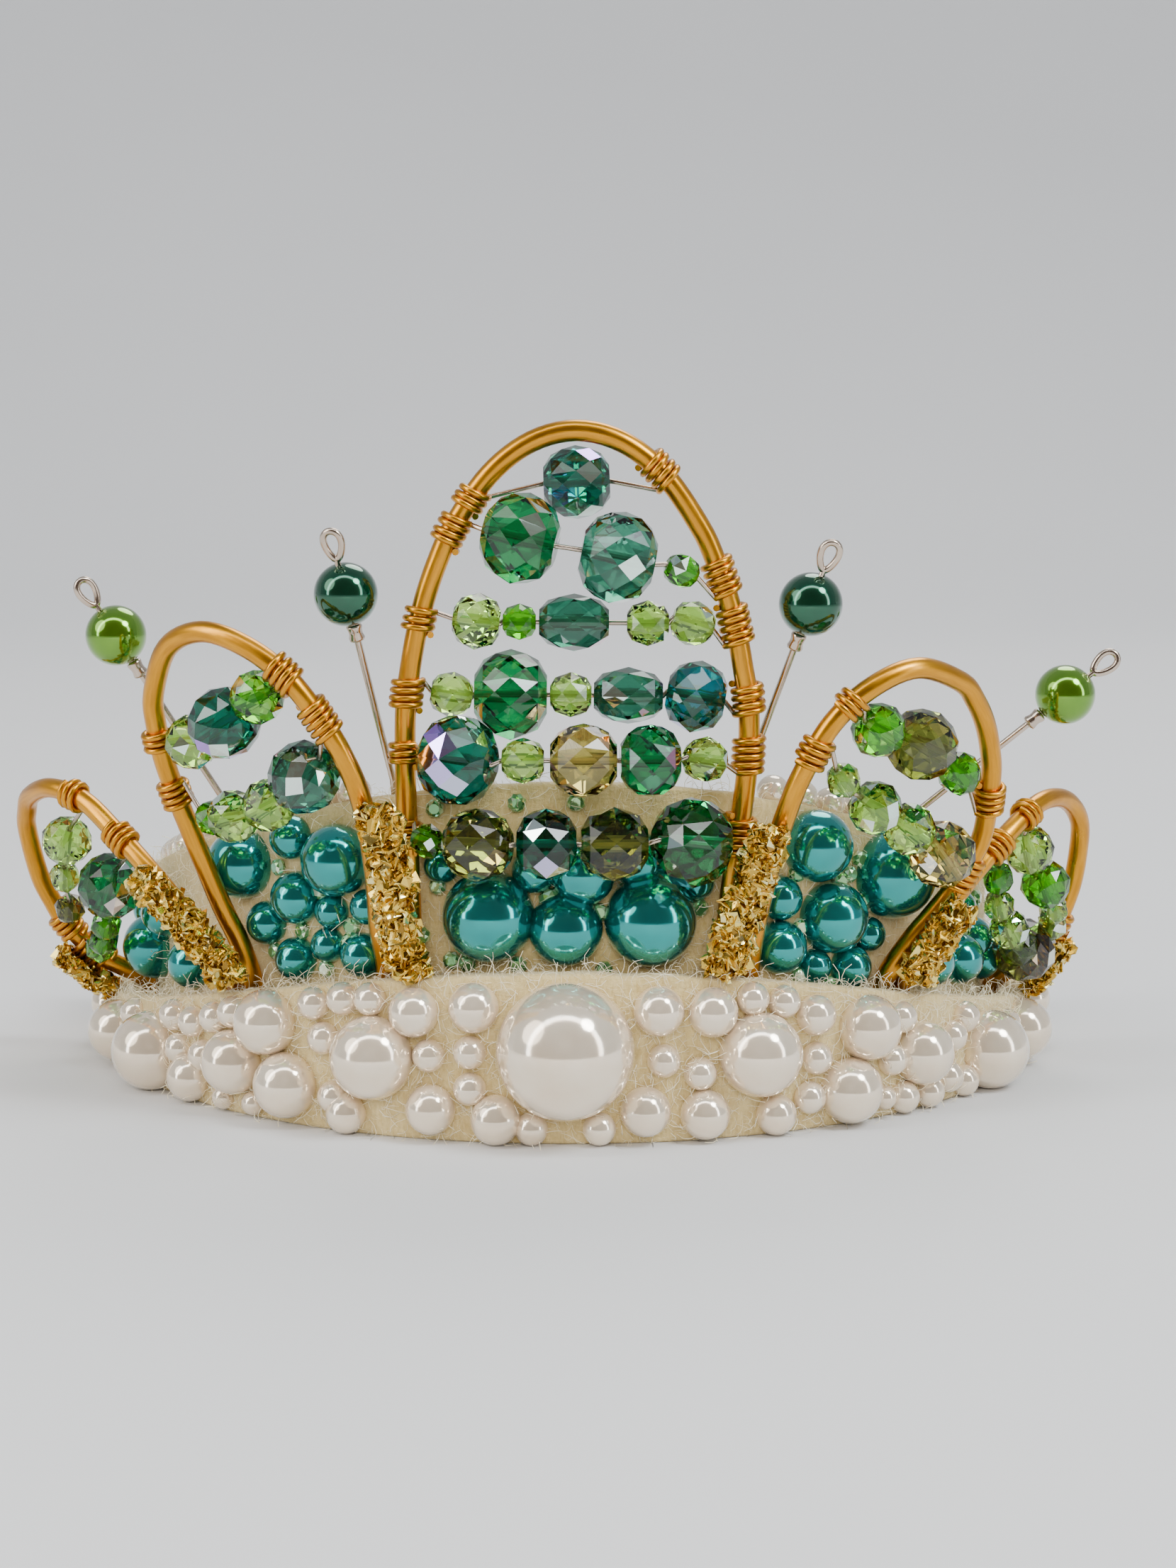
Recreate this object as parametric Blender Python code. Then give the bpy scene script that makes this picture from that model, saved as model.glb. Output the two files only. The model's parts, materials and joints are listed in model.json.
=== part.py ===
"""A beaded tiara: two layers of felt round the head, wire arches between them, pearls, crystals, a comb.

Everything stands round one upright axis. A place on the tiara is an angle from the front middle (in
degrees, positive towards +X), a distance from the axis and a height above the foot. The front faces -Y.
"""

import math
import random

import bmesh
import bpy
from mathutils import Matrix, Vector

MM = 0.001
GAP = 0.3 * MM
MERGE = 0.01 * MM

# Felt: an outer band and a taller wall behind it, with the legs of the arches between them
BAND_RADIUS = 62 * MM
BAND_FELT = 2.5 * MM
BAND_FRONT_HEIGHT = 20 * MM
BAND_SIDE_HEIGHT = 8 * MM
WALL_FELT = 2.2 * MM
WALL_FRONT_HEIGHT = 41.5 * MM
WALL_SIDE_HEIGHT = 24 * MM
WALL_TAPER = 1.6
OPEN_ANGLE = 100.0
FELT_STEP = 6.25

# Wire
ARCH_WIRE = 2.5 * MM
COLLAR_WIRE = 0.8 * MM
COLLAR_TURNS = 4
STRING_WIRE = 0.7 * MM
BEND_OUT = 0.12 * MM
LEAST_SLANT = 0.6
PIN_WIRE = 0.75 * MM
WIRE_SIDES = 6
LEG_FOOT = 2 * MM
PATH_STEP = 5 * MM

# Pearls: the width of each size, and how much of a flat-backed pearl stands out of the felt
PEARL = {"five": 5 * MM, "six": 6 * MM, "eight": 8 * MM, "ten": 10 * MM, "sixteen": 16 * MM}
PEARL_SHOWS = 0.6
PEARL_SIDES = 10
SMALL_PEARL_RINGS = 4
LARGE_PEARL_RINGS = 5
MAIN_PEARL_RINGS = 6
FRONT_PEARL_RINGS = 7

# Crystals: width across the string, and length along it
CRYSTAL = {
    "giant": (10.6 * MM, 8.4 * MM),
    "large": (8.6 * MM, 7.6 * MM),
    "thick": (8.6 * MM, 6.8 * MM),
    "barrel": (6.8 * MM, 8.0 * MM),
    "middle": (6.6 * MM, 5.4 * MM),
    "small": (5.4 * MM, 4.8 * MM),
    "tiny": (4.2 * MM, 3.8 * MM),
}
CRYSTAL_SIDES = 8
CRYSTAL_TABLE = 0.5
CRYSTAL_GIRDLE = 0.34

# Crusts of gold chips over the legs
CRUST_WIDTH = 5.6 * MM
CRUST_DEPTH = 2.2 * MM
CRUST_STEP = 3.2 * MM
CRUST_CORNERS = 6
CRUST_SEAT = 0.9
CRUST_TAPER = 0.22
CRUST_JUT = (0.75, 1.15)
CRUST_SPREAD = (0.85, 1.1)

# Head pins
PIN_PEARL = 7.8 * MM
PIN_LOOP = 3.6 * MM
PIN_CRIMP = 2.2 * MM
CRIMP_SIDES = 8
PIN_ROOT = 9 * MM
CRIMP_SUNK = 0.22 * MM
LOOP_CORNERS = 8
LOOP_START = -90.0
LOOP_TURN = 294.0

# Comb
COMB_BAR = 2.2 * MM
BAR_SIDES = 8
COMB_TOOTH = 1.4 * MM
COMB_HEIGHT = 27 * MM
COMB_FOOT = 3 * MM
COMB_SPAN = 22.0
COMB_OVERHANG = 2.0
COMB_TEETH = 11
COMB_HOOK = 3 * MM

BAND_INSIDE = BAND_RADIUS - BAND_FELT
LEG_RADIUS = BAND_INSIDE - GAP - ARCH_WIRE / 2
WALL_RADIUS = LEG_RADIUS - ARCH_WIRE / 2 - GAP
WALL_INSIDE = WALL_RADIUS - WALL_FELT
AXIS_Y = BAND_RADIUS - BAND_FELT / 2
BEHIND_WALL = WALL_INSIDE * math.cos(math.radians(FELT_STEP / 2)) - GAP

# The centre arch: an upright stretch of leg, then half an ellipse
CENTRE_FOOT_ANGLE = 18.3
CENTRE_TOP = 82 * MM
CENTRE_SPRING = 45 * MM
CENTRE_HALF_WIDTH = 19.9 * MM
CENTRE_SIDEWAYS = 1.1 * MM
CENTRE_LEAN = 2.5 * MM
CENTRE_STEP = 15

# Side arches: the height of the top and how far it leans out, then stations from one foot to the other, as
# (angle, share of the lean, share of the height)
SIDE_ARCHES = {
    "arch_left_outer": (37.8 * MM, 15.5 * MM, (
        (-78, 0.0, 0.05), (-78, 0.0, 0.25), (-78, 0.38, 0.34), (-77.5, 0.66, 0.46), (-76, 0.89, 0.65),
        (-73.5, 0.99, 0.82), (-69, 1.0, 0.955), (-64, 0.92, 1.0), (-59.5, 0.76, 0.97), (-55, 0.62, 0.87),
        (-50.5, 0.50, 0.755), (-48, 0.37, 0.65), (-46, 0.19, 0.51), (-45, 0.0, 0.38), (-45, 0.0, 0.05))),
    "arch_left_mid": (59.4 * MM, 16 * MM, (
        (-41.3, 0.0, 0.04), (-41.5, 0.0, 0.26), (-42.8, 0.22, 0.42), (-43.6, 0.47, 0.585),
        (-43.4, 0.72, 0.74), (-42, 0.88, 0.87), (-38.5, 0.98, 0.965), (-34, 1.0, 1.0),
        (-29.5, 0.96, 0.975), (-25.5, 0.90, 0.915), (-22.5, 0.78, 0.82), (-20.3, 0.63, 0.70),
        (-20.2, 0.40, 0.55), (-21.4, 0.14, 0.41), (-21.7, 0.0, 0.33), (-21.7, 0.0, 0.04))),
    "arch_right_mid": (55.2 * MM, 14.5 * MM, (
        (21.7, 0.0, 0.04), (21.7, 0.0, 0.35), (21.3, 0.16, 0.44), (21.6, 0.46, 0.62), (23, 0.70, 0.78),
        (25.3, 0.84, 0.89), (28.8, 0.95, 0.965), (33.5, 1.0, 1.0), (39, 0.98, 0.965), (43.5, 0.91, 0.87),
        (46.6, 0.79, 0.745), (47.9, 0.65, 0.62), (46.8, 0.42, 0.49), (43.4, 0.16, 0.37), (41.5, 0.0, 0.28),
        (41.5, 0.0, 0.04))),
    "arch_right_outer": (35.8 * MM, 11.3 * MM, (
        (44.9, 0.0, 0.05), (44.9, 0.0, 0.41), (46.4, 0.15, 0.54), (49.4, 0.32, 0.68), (52.8, 0.50, 0.81),
        (57.5, 0.64, 0.92), (63, 0.77, 1.0), (68.5, 0.90, 0.99), (72.5, 1.0, 0.90), (75, 0.97, 0.77),
        (76, 0.88, 0.62), (76.2, 0.68, 0.47), (76, 0.36, 0.36), (76, 0.0, 0.26), (76, 0.0, 0.05))),
}

# Rows of crystals on the centre arch: height on the left and on the right leg, how far the row bows out
# in front of the arch, then its crystals as (share of the half width, rise over the row as a share of a
# giant crystal, size, finish, whether it is a main stone)
ROW_FLATNESS = 6
CENTRE_ROWS = {
    "row_top": (74.2 * MM, 77.6 * MM, -2.8 * MM, (
        (0.0, 0.0, "large", "teal", True),)),
    "row_high": (70.6 * MM, 65.4 * MM, 2.8 * MM, (
        (-0.32, 0.06, "giant", "emerald", True), (0.235, 0.03, "giant", "smoke", True),
        (0.60, 0.0, "tiny", "grass", False))),
    "row_third": (60.4 * MM, 60.0 * MM, 0.8 * MM, (
        (-0.575, 0.0, "middle", "peridot", False), (-0.33, 0.0, "tiny", "grass", False),
        (-0.015, 0.0, "barrel", "smoke", True), (0.41, 0.0, "small", "peridot", False),
        (0.67, 0.0, "small", "peridot", False))),
    "row_fourth": (51.8 * MM, 51.4 * MM, -1.2 * MM, (
        (-0.73, 0.0, "small", "peridot", False), (-0.385, 0.0, "giant", "emerald", True),
        (-0.035, 0.0, "small", "peridot", False), (0.30, 0.0, "barrel", "smoke", True),
        (0.695, 0.0, "thick", "teal", True))),
    "row_fifth": (44.8 * MM, 44.8 * MM, 6.2 * MM, (
        (-0.68, 0.0, "giant", "teal", True), (-0.305, 0.0, "small", "peridot", False),
        (0.04, 0.0, "large", "amber", True), (0.42, 0.0, "thick", "emerald", True),
        (0.735, 0.0, "small", "peridot", False))),
    "row_lowest": (35.2 * MM, 35.4 * MM, 7.4 * MM, (
        (-0.86, 0.0, "tiny", "grass", False), (-0.565, 0.0, "large", "olive", True),
        (-0.17, 0.0, "thick", "teal", True), (0.215, 0.0, "large", "olive", True),
        (0.66, 0.0, "giant", "emerald", True))),
}

# Strings on the side arches: the arch, where each end is wrapped on it (side, share of the height), the
# finish, then the crystals as (angle, share of the lean, share of the height, size)
SIDE_STRINGS = {
    "string_left_mid_high": ("arch_left_mid", ("first", 0.775), ("last", 0.925), "teal", (
        (-38.9, 0.73, 0.775, "middle"), (-34.2, 0.76, 0.82, "large"), (-29.8, 0.80, 0.875, "middle"))),
    "string_left_mid_low": ("arch_left_mid", ("first", 0.665), ("last", 0.84), "peridot", (
        (-40.2, 0.46, 0.615, "tiny"), (-36.4, 0.50, 0.625, "middle"), (-31.6, 0.51, 0.655, "middle"),
        (-26.2, 0.62, 0.72, "large"))),
    "string_right_mid_high": ("arch_right_mid", ("first", 0.93), ("last", 0.70), "grass", (
        (30.8, 0.80, 0.87, "middle"), (36.8, 0.74, 0.83, "large"), (42.4, 0.73, 0.76, "small"))),
    "string_right_mid_low": ("arch_right_mid", ("first", 0.83), ("last", 0.53), "peridot", (
        (28.0, 0.66, 0.765, "tiny"), (32.2, 0.62, 0.70, "middle"), (37.2, 0.58, 0.645, "middle"),
        (42.4, 0.56, 0.58, "thick"))),
    "string_left_outer_far": ("arch_left_outer", ("last", 0.985), ("first", 0.46), "peridot", (
        (-66.0, 0.76, 0.81, "middle"), (-70.4, 0.72, 0.665, "tiny"), (-73.0, 0.66, 0.54, "tiny"))),
    "string_left_outer_near": ("arch_left_outer", ("last", 0.86), ("first", 0.36), "emerald", (
        (-61.4, 0.50, 0.67, "large"), (-66.6, 0.44, 0.51, "tiny"), (-69.6, 0.42, 0.44, "tiny"),
        (-72.6, 0.42, 0.40, "tiny"))),
    "string_right_outer_far": ("arch_right_outer", ("first", 0.965), ("last", 0.50), "peridot", (
        (62.5, 0.66, 0.83, "middle"), (66.6, 0.74, 0.69, "middle"), (70.2, 0.76, 0.58, "tiny"),
        (72.2, 0.72, 0.51, "tiny"))),
    "string_right_outer_near": ("arch_right_outer", ("first", 0.87), ("last", 0.38), "smoke", (
        (58.8, 0.44, 0.74, "tiny"), (61.0, 0.38, 0.63, "tiny"), (64.2, 0.40, 0.53, "small"),
        (67.6, 0.42, 0.45, "small"), (71.0, 0.42, 0.40, "small"))),
}

# Main pearls, each a piece of its own: (angle, share of the felt's height, size)
BAND_MAIN_PEARLS = {
    "pearl_front": (-0.2, 0.57, "sixteen"),
    "pearl_left": (-21.2, 0.52, "ten"),
    "pearl_right": (20.9, 0.54, "ten"),
    "pearl_far_left": (-56.4, 0.42, "ten"),
    "pearl_far_right": (57.2, 0.42, "ten"),
}
WALL_MAIN_PEARLS = {
    "teal_front_left": (-9.2, 0.29, "ten"),
    "teal_front_right": (9.7, 0.27, "ten"),
    "teal_front_middle": (-0.2, 0.21, "eight"),
    "teal_left_high": (-44.0, 0.77, "eight"),
    "teal_left_inner": (-28.6, 0.68, "eight"),
    "teal_left_outer": (-71.6, 0.34, "eight"),
    "teal_right_high": (31.2, 0.78, "eight"),
    "teal_right_outer": (43.4, 0.70, "ten"),
    "teal_right_low": (33.6, 0.38, "eight"),
}

# Smaller pearls fused to the felt that carries them: (angle, share of the felt's height, size)
BAND_PEARLS = (
    (-84.0, 0.62, "six"), (-69.5, 0.50, "eight"), (-48.0, 0.24, "six"), (-40.0, 0.44, "eight"),
    (-34.9, 0.76, "eight"), (-32.2, 0.30, "eight"), (-24.6, 0.13, "five"), (-16.5, 0.80, "six"),
    (-14.7, 0.20, "six"), (-9.9, 0.82, "six"), (-7.6, 0.15, "six"), (8.3, 0.20, "six"), (9.7, 0.80, "six"),
    (14.8, 0.17, "six"), (15.6, 0.80, "six"), (23.0, 0.13, "five"), (27.8, 0.80, "five"),
    (32.3, 0.26, "eight"), (34.8, 0.72, "eight"), (43.2, 0.50, "eight"), (70.0, 0.52, "eight"),
    (83.5, 0.72, "six"),
)
WALL_PEARLS = (
    (-76.8, 0.62, "five"), (-66.0, 0.58, "six"), (-56.4, 0.20, "six"), (-39.8, 0.38, "five"),
    (-35.6, 0.86, "five"), (-34.8, 0.50, "six"), (1.8, 0.56, "six"), (8.2, 0.66, "five"),
    (26.2, 0.17, "six"), (26.2, 0.45, "five"), (52.2, 0.20, "six"), (55.4, 0.48, "five"),
    (60.6, 0.24, "six"), (65.8, 0.40, "five"), (70.8, 0.24, "five"),
)

# Crusts: the arch that carries each, which of its legs, the share of its height where the crust ends, how
# far its foot leans over to a second leg as a share of its width, and whether it covers a wound sleeve
CRUSTS = {
    "chips_far_left": ("arch_left_outer", "first", 0.42, 0.0, True),
    "chips_left": ("arch_left_outer", "last", 0.78, 0.40, False),
    "chips_front_left": ("arch_left_mid", "last", 0.70, 0.80, True),
    "chips_front_right": ("arch_right_mid", "first", 0.70, -0.80, True),
    "chips_right": ("arch_right_outer", "first", 0.72, 0.06, False),
    "chips_far_right": ("arch_right_outer", "last", 0.60, 0.0, True),
}

# Head pins: (foot angle, pearl angle, pearl's lean past the legs, pearl height, turn of the loop, finish)
PINS = {
    "pin_far_left": (-50.0, -54.8, 9.4 * MM, 57.4 * MM, 80.0, "pearl_green_light"),
    "pin_left": (-22.6, -23.8, 4.8 * MM, 63.4 * MM, 10.0, "pearl_green_dark"),
    "pin_right": (22.8, 26.4, 5.0 * MM, 62.2 * MM, -20.0, "pearl_green_dark"),
    "pin_far_right": (50.5, 60.4, 12.6 * MM, 49.8 * MM, -60.0, "pearl_green_light"),
}

FINISH = {
    "felt_cream": ((0.83, 0.78, 0.60), 0.95, 0.0),
    "pearl_ivory": ((0.88, 0.83, 0.74), 0.18, 0.0),
    "pearl_teal": ((0.01, 0.26, 0.27), 0.15, 0.0),
    "pearl_green_light": ((0.20, 0.42, 0.12), 0.15, 0.0),
    "pearl_green_dark": ((0.02, 0.13, 0.10), 0.15, 0.0),
    "wire_gold": ((0.72, 0.40, 0.08), 0.28, 1.0),
    "chips_gold": ((0.80, 0.56, 0.18), 0.22, 1.0),
    "wire_silver": ((0.78, 0.72, 0.66), 0.25, 1.0),
    "teal": ((0.00, 0.22, 0.20), 0.04, 0.0),
    "emerald": ((0.02, 0.30, 0.16), 0.04, 0.0),
    "peridot": ((0.42, 0.66, 0.24), 0.04, 0.0),
    "grass": ((0.12, 0.50, 0.06), 0.04, 0.0),
    "olive": ((0.22, 0.24, 0.05), 0.04, 0.0),
    "amber": ((0.46, 0.40, 0.20), 0.04, 0.0),
    "smoke": ((0.26, 0.34, 0.30), 0.04, 0.0),
}


def clear_scene():
    for thing in list(bpy.data.objects):
        bpy.data.objects.remove(thing, do_unlink=True)


def new_collection(name):
    group = bpy.data.collections.new(name)
    bpy.context.scene.collection.children.link(group)
    return group


def material(name):
    found = bpy.data.materials.get(name)
    if found:
        return found
    colour, roughness, metallic = FINISH[name]
    made = bpy.data.materials.new(name)
    made.use_nodes = True
    shader = made.node_tree.nodes["Principled BSDF"]
    shader.inputs["Base Color"].default_value = (*colour, 1.0)
    shader.inputs["Roughness"].default_value = roughness
    shader.inputs["Metallic"].default_value = metallic
    return made


def at(angle, radius, height):
    turn = math.radians(angle)
    return Vector((radius * math.sin(turn), AXIS_Y - radius * math.cos(turn), height))


def outward(angle):
    turn = math.radians(angle)
    return Vector((math.sin(turn), -math.cos(turn), 0))


def band_height(angle):
    front = max(math.cos(math.radians(angle)), 0.0) ** 2
    return BAND_SIDE_HEIGHT + (BAND_FRONT_HEIGHT - BAND_SIDE_HEIGHT) * front


def wall_height(angle):
    front = max(math.cos(math.radians(angle)), 0.0) ** WALL_TAPER
    return WALL_SIDE_HEIGHT + (WALL_FRONT_HEIGHT - WALL_SIDE_HEIGHT) * front


def mesh_object(name, bm, finish, collection):
    """Turns a bmesh into an object of the tiara, with its faces pointing out."""
    bmesh.ops.recalc_face_normals(bm, faces=bm.faces)
    mesh = bpy.data.meshes.new(name)
    bm.to_mesh(mesh)
    bm.free()
    thing = bpy.data.objects.new(name, mesh)
    thing.data.materials.append(material(finish))
    collection.objects.link(thing)
    return thing


def hide_helper(thing):
    thing.hide_render = True
    thing.display_type = "WIRE"


def join_to(target, helper):
    """Makes the helper's shapes one solid with the target."""
    union = target.modifiers.new("joined", "BOOLEAN")
    union.operation = "UNION"
    union.solver = "EXACT"
    union.use_self = True
    union.object = helper
    hide_helper(helper)


def cut_with(target, helper):
    cut = target.modifiers.new("cut", "BOOLEAN")
    cut.operation = "DIFFERENCE"
    cut.solver = "EXACT"
    cut.object = helper
    hide_helper(helper)


def axis_matrix(centre, axis):
    """A frame at centre whose Z lies along axis."""
    return Matrix.Translation(centre) @ axis.to_track_quat("Z", "Y").to_matrix().to_4x4()


def add_shape(bm, shape):
    """Appends one closed shape to a mesh that holds several."""
    bmesh.ops.recalc_face_normals(shape, faces=shape.faces)
    mesh = bpy.data.meshes.new("shape")
    shape.to_mesh(mesh)
    shape.free()
    bm.from_mesh(mesh)
    bpy.data.meshes.remove(mesh)


def pearl_shape(centre, axis, width, rings):
    shape = bmesh.new()
    bmesh.ops.create_uvsphere(
        shape, u_segments=PEARL_SIDES, v_segments=rings, radius=width / 2, matrix=axis_matrix(centre, axis)
    )
    return shape


def crystal_shape(centre, axis, width, length):
    """A rondelle: a straight girdle of facets, a slanting row on each side, a flat table at each end."""
    girdle = length * CRYSTAL_GIRDLE
    shape = bmesh.new()
    bmesh.ops.create_cone(
        shape, cap_ends=True, segments=CRYSTAL_SIDES, radius1=width / 2, radius2=width / 2, depth=girdle
    )
    ends = [face for face in shape.faces if len(face.verts) == CRYSTAL_SIDES]
    for face in ends:
        side = 1 if face.calc_center_median().z > 0 else -1
        made = bmesh.ops.extrude_face_region(shape, geom=[face])
        corners = [item for item in made["geom"] if isinstance(item, bmesh.types.BMVert)]
        for corner in corners:
            corner.co = (corner.co.x * CRYSTAL_TABLE, corner.co.y * CRYSTAL_TABLE, side * length / 2)
    bmesh.ops.delete(shape, geom=ends, context="FACES_ONLY")
    bmesh.ops.transform(shape, matrix=axis_matrix(centre, axis), verts=shape.verts)
    return shape


def rod_shape(start, end, radius, sides):
    shape = bmesh.new()
    span = end - start
    bmesh.ops.create_cone(
        shape, cap_ends=True, segments=sides, radius1=radius, radius2=radius, depth=span.length,
        matrix=axis_matrix((start + end) / 2, span),
    )
    return shape


def smooth_path(points, spacing):
    """Points about one spacing apart on a smooth curve through the given ones."""
    ends = [points[0] * 2 - points[1]] + list(points) + [points[-1] * 2 - points[-2]]
    path = [points[0]]
    for a, b, c, d in zip(ends, ends[1:], ends[2:], ends[3:]):
        pieces = max(round((c - b).length / spacing), 1)
        for step in range(1, pieces + 1):
            t = step / pieces
            path.append(0.5 * (2 * b + (c - a) * t + (2 * a - 5 * b + 4 * c - d) * t * t
                               + (3 * b - a - 3 * c + d) * t * t * t))
    return path


def path_lengths(path):
    lengths = [0.0]
    for a, b in zip(path, path[1:]):
        lengths.append(lengths[-1] + (b - a).length)
    return lengths


def point_along(path, lengths, distance):
    distance = min(max(distance, 0.0), lengths[-1])
    for index in range(1, len(path)):
        if lengths[index] >= distance:
            part = (distance - lengths[index - 1]) / (lengths[index] - lengths[index - 1])
            return path[index - 1].lerp(path[index], part)
    return path[-1]


def tube_object(name, path, radii, sides, finish, collection):
    """A round wire through the path, whose radius at each point comes from radii."""
    curve = bpy.data.curves.new(name, "CURVE")
    curve.dimensions = "3D"
    curve.bevel_depth = 1.0
    curve.bevel_resolution = sides // 2 - 2
    curve.use_fill_caps = True
    spline = curve.splines.new("POLY")
    spline.points.add(len(path) - 1)
    for point, place, radius in zip(spline.points, path, radii):
        point.co = (*place, 1.0)
        point.radius = radius
    guide = bpy.data.objects.new(name + "_guide", curve)
    collection.objects.link(guide)
    graph = bpy.context.evaluated_depsgraph_get()
    mesh = bpy.data.meshes.new_from_object(guide.evaluated_get(graph))
    bpy.data.objects.remove(guide, do_unlink=True)
    bm = bmesh.new()
    bm.from_mesh(mesh)
    bpy.data.meshes.remove(mesh)
    bmesh.ops.remove_doubles(bm, verts=bm.verts, dist=MERGE)
    return mesh_object(name, bm, finish, collection)


def felt_layer(name, outside, inside, height_at, collection):
    """One strip of felt bent round the axis, standing on its lower edge, with a curved top edge."""
    count = round(2 * OPEN_ANGLE / FELT_STEP)
    angles = [-OPEN_ANGLE + index * FELT_STEP for index in range(count + 1)]
    bm = bmesh.new()
    rings = []
    for angle in angles:
        top = height_at(angle)
        rings.append([bm.verts.new(at(angle, radius, height)) for radius, height in
                      ((outside, 0.0), (outside, top), (inside, top), (inside, 0.0))])
    for first, second in zip(rings, rings[1:]):
        for side in range(4):
            after = (side + 1) % 4
            bm.faces.new((first[side], first[after], second[after], second[side]))
    bm.faces.new(rings[0])
    bm.faces.new(rings[-1])
    return mesh_object(name, bm, "felt_cream", collection)


def flat_backed(angle, radius, height, width, rings):
    """A pearl glued to a wall of this radius, sunk in it by what doesn't show."""
    centre = at(angle, radius + width * (PEARL_SHOWS - 0.5), height)
    return pearl_shape(centre, outward(angle), width, rings)


def pearl_rings(width):
    return SMALL_PEARL_RINGS if width <= PEARL["six"] else LARGE_PEARL_RINGS


def felt_band(parts, helpers):
    band = felt_layer("pearl_band", BAND_RADIUS, BAND_INSIDE, band_height, parts)
    stones = bmesh.new()
    for angle, share, size in BAND_PEARLS:
        width = PEARL[size]
        height = max(share * band_height(angle), width / 2)
        add_shape(stones, flat_backed(angle, BAND_RADIUS, height, width, pearl_rings(width)))
    join_to(band, mesh_object("pearl_band_stones", stones, "pearl_ivory", helpers))


def wall_place(angle, share):
    low = band_height(angle)
    return low + share * (wall_height(angle) - low)


def felt_wall(parts, helpers):
    wall = felt_layer("teal_wall", WALL_RADIUS, WALL_INSIDE, wall_height, parts)
    stones = bmesh.new()
    for angle, share, size in WALL_PEARLS:
        width = PEARL[size]
        height = wall_place(angle, share)
        add_shape(stones, flat_backed(angle, WALL_RADIUS, height, width, pearl_rings(width)))
    join_to(wall, mesh_object("teal_wall_stones", stones, "pearl_teal", helpers))


def main_pearl(name, angle, radius, height, width, finish, parts):
    """A flat-backed pearl of its own: a ball cut off flat just in front of the felt."""
    rings = FRONT_PEARL_RINGS if width > PEARL["ten"] else MAIN_PEARL_RINGS
    shape = flat_backed(angle, radius + GAP, height, width, rings)
    back = at(angle, radius + GAP, height)
    bmesh.ops.bisect_plane(shape, geom=shape.verts[:] + shape.edges[:] + shape.faces[:], plane_co=back,
                           plane_no=-outward(angle), clear_outer=True)
    rim = [edge for edge in shape.edges if edge.is_boundary]
    bmesh.ops.holes_fill(shape, edges=rim)
    mesh_object(name, shape, finish, parts).data.shade_smooth()


def main_pearls(parts):
    for name, (angle, share, size) in BAND_MAIN_PEARLS.items():
        height = max(share * band_height(angle), PEARL[size] / 2)
        main_pearl(name, angle, BAND_RADIUS, height, PEARL[size], "pearl_ivory", parts)
    for name, (angle, share, size) in WALL_MAIN_PEARLS.items():
        main_pearl(name, angle, WALL_RADIUS, wall_place(angle, share), PEARL[size], "pearl_teal", parts)


def centre_place(across, height, forward=0.0):
    """A point on the centre arch's own plane, which leans out a little, or in front of it."""
    chord = LEG_RADIUS * math.cos(math.radians(CENTRE_FOOT_ANGLE))
    lean = CENTRE_LEAN * max(height - BAND_FRONT_HEIGHT, 0.0) / (CENTRE_TOP - BAND_FRONT_HEIGHT)
    return Vector((across, AXIS_Y - chord - lean - forward, height))


def centre_path():
    foot = LEG_RADIUS * math.sin(math.radians(CENTRE_FOOT_ANGLE))
    left = [centre_place(-foot, LEG_FOOT), centre_place(-foot, BAND_FRONT_HEIGHT)]
    right = [centre_place(foot, BAND_FRONT_HEIGHT), centre_place(foot, LEG_FOOT)]
    crown = []
    for turn in range(180, -1, -CENTRE_STEP):
        around = math.radians(turn)
        rise = CENTRE_TOP - CENTRE_SPRING
        across = CENTRE_SIDEWAYS + CENTRE_HALF_WIDTH * math.cos(around)
        crown.append(centre_place(across, CENTRE_SPRING + rise * math.sin(around)))
    return smooth_path(left + crown + right, PATH_STEP)


def side_path(name):
    stations = SIDE_ARCHES[name][2]
    return smooth_path([side_place(name, *station) for station in stations], PATH_STEP)


def side_place(name, angle, lean_share, height_share):
    top, lean, _ = SIDE_ARCHES[name]
    return at(angle, LEG_RADIUS + lean * lean_share, top * height_share)


def on_leg(path, leg, height):
    """How far along the path the leg passes a height, counted from the path's start."""
    lengths = path_lengths(path)
    summit = max(range(len(path)), key=lambda index: path[index].z)
    steps = range(1, summit + 1) if leg == "first" else range(len(path) - 1, summit, -1)
    for index in steps:
        low, high = sorted((path[index - 1].z, path[index].z))
        if low <= height <= high:
            part = (height - path[index - 1].z) / (path[index].z - path[index - 1].z)
            return lengths[index - 1] + part * (lengths[index] - lengths[index - 1])
    return lengths[summit]


def wrapped_arch(name, path, anchors, parts):
    """An arch of thick wire, with a sleeve of thin wire wound on it wherever a string ends."""
    lengths = path_lengths(path)
    wire, sleeve = ARCH_WIRE / 2, ARCH_WIRE / 2 + COLLAR_WIRE
    half = COLLAR_TURNS * COLLAR_WIRE / 2
    slope = COLLAR_WIRE / 2
    centres = []
    for anchor in sorted(anchors):
        if not centres or anchor - centres[-1] > 2 * (half + slope):
            centres.append(anchor)
    marks = []
    for centre in centres:
        marks += [(centre - half - slope, wire), (centre - half, sleeve), (centre + half, sleeve),
                  (centre + half + slope, wire)]
    for distance in lengths:
        if all(abs(distance - centre) > half + 2 * slope for centre in centres):
            marks.append((distance, wire))
    marks.sort()
    places = [point_along(path, lengths, distance) for distance, _ in marks]
    arch = tube_object(name, places, [radius for _, radius in marks], WIRE_SIDES, "wire_gold", parts)
    arch.data.shade_smooth()


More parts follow.
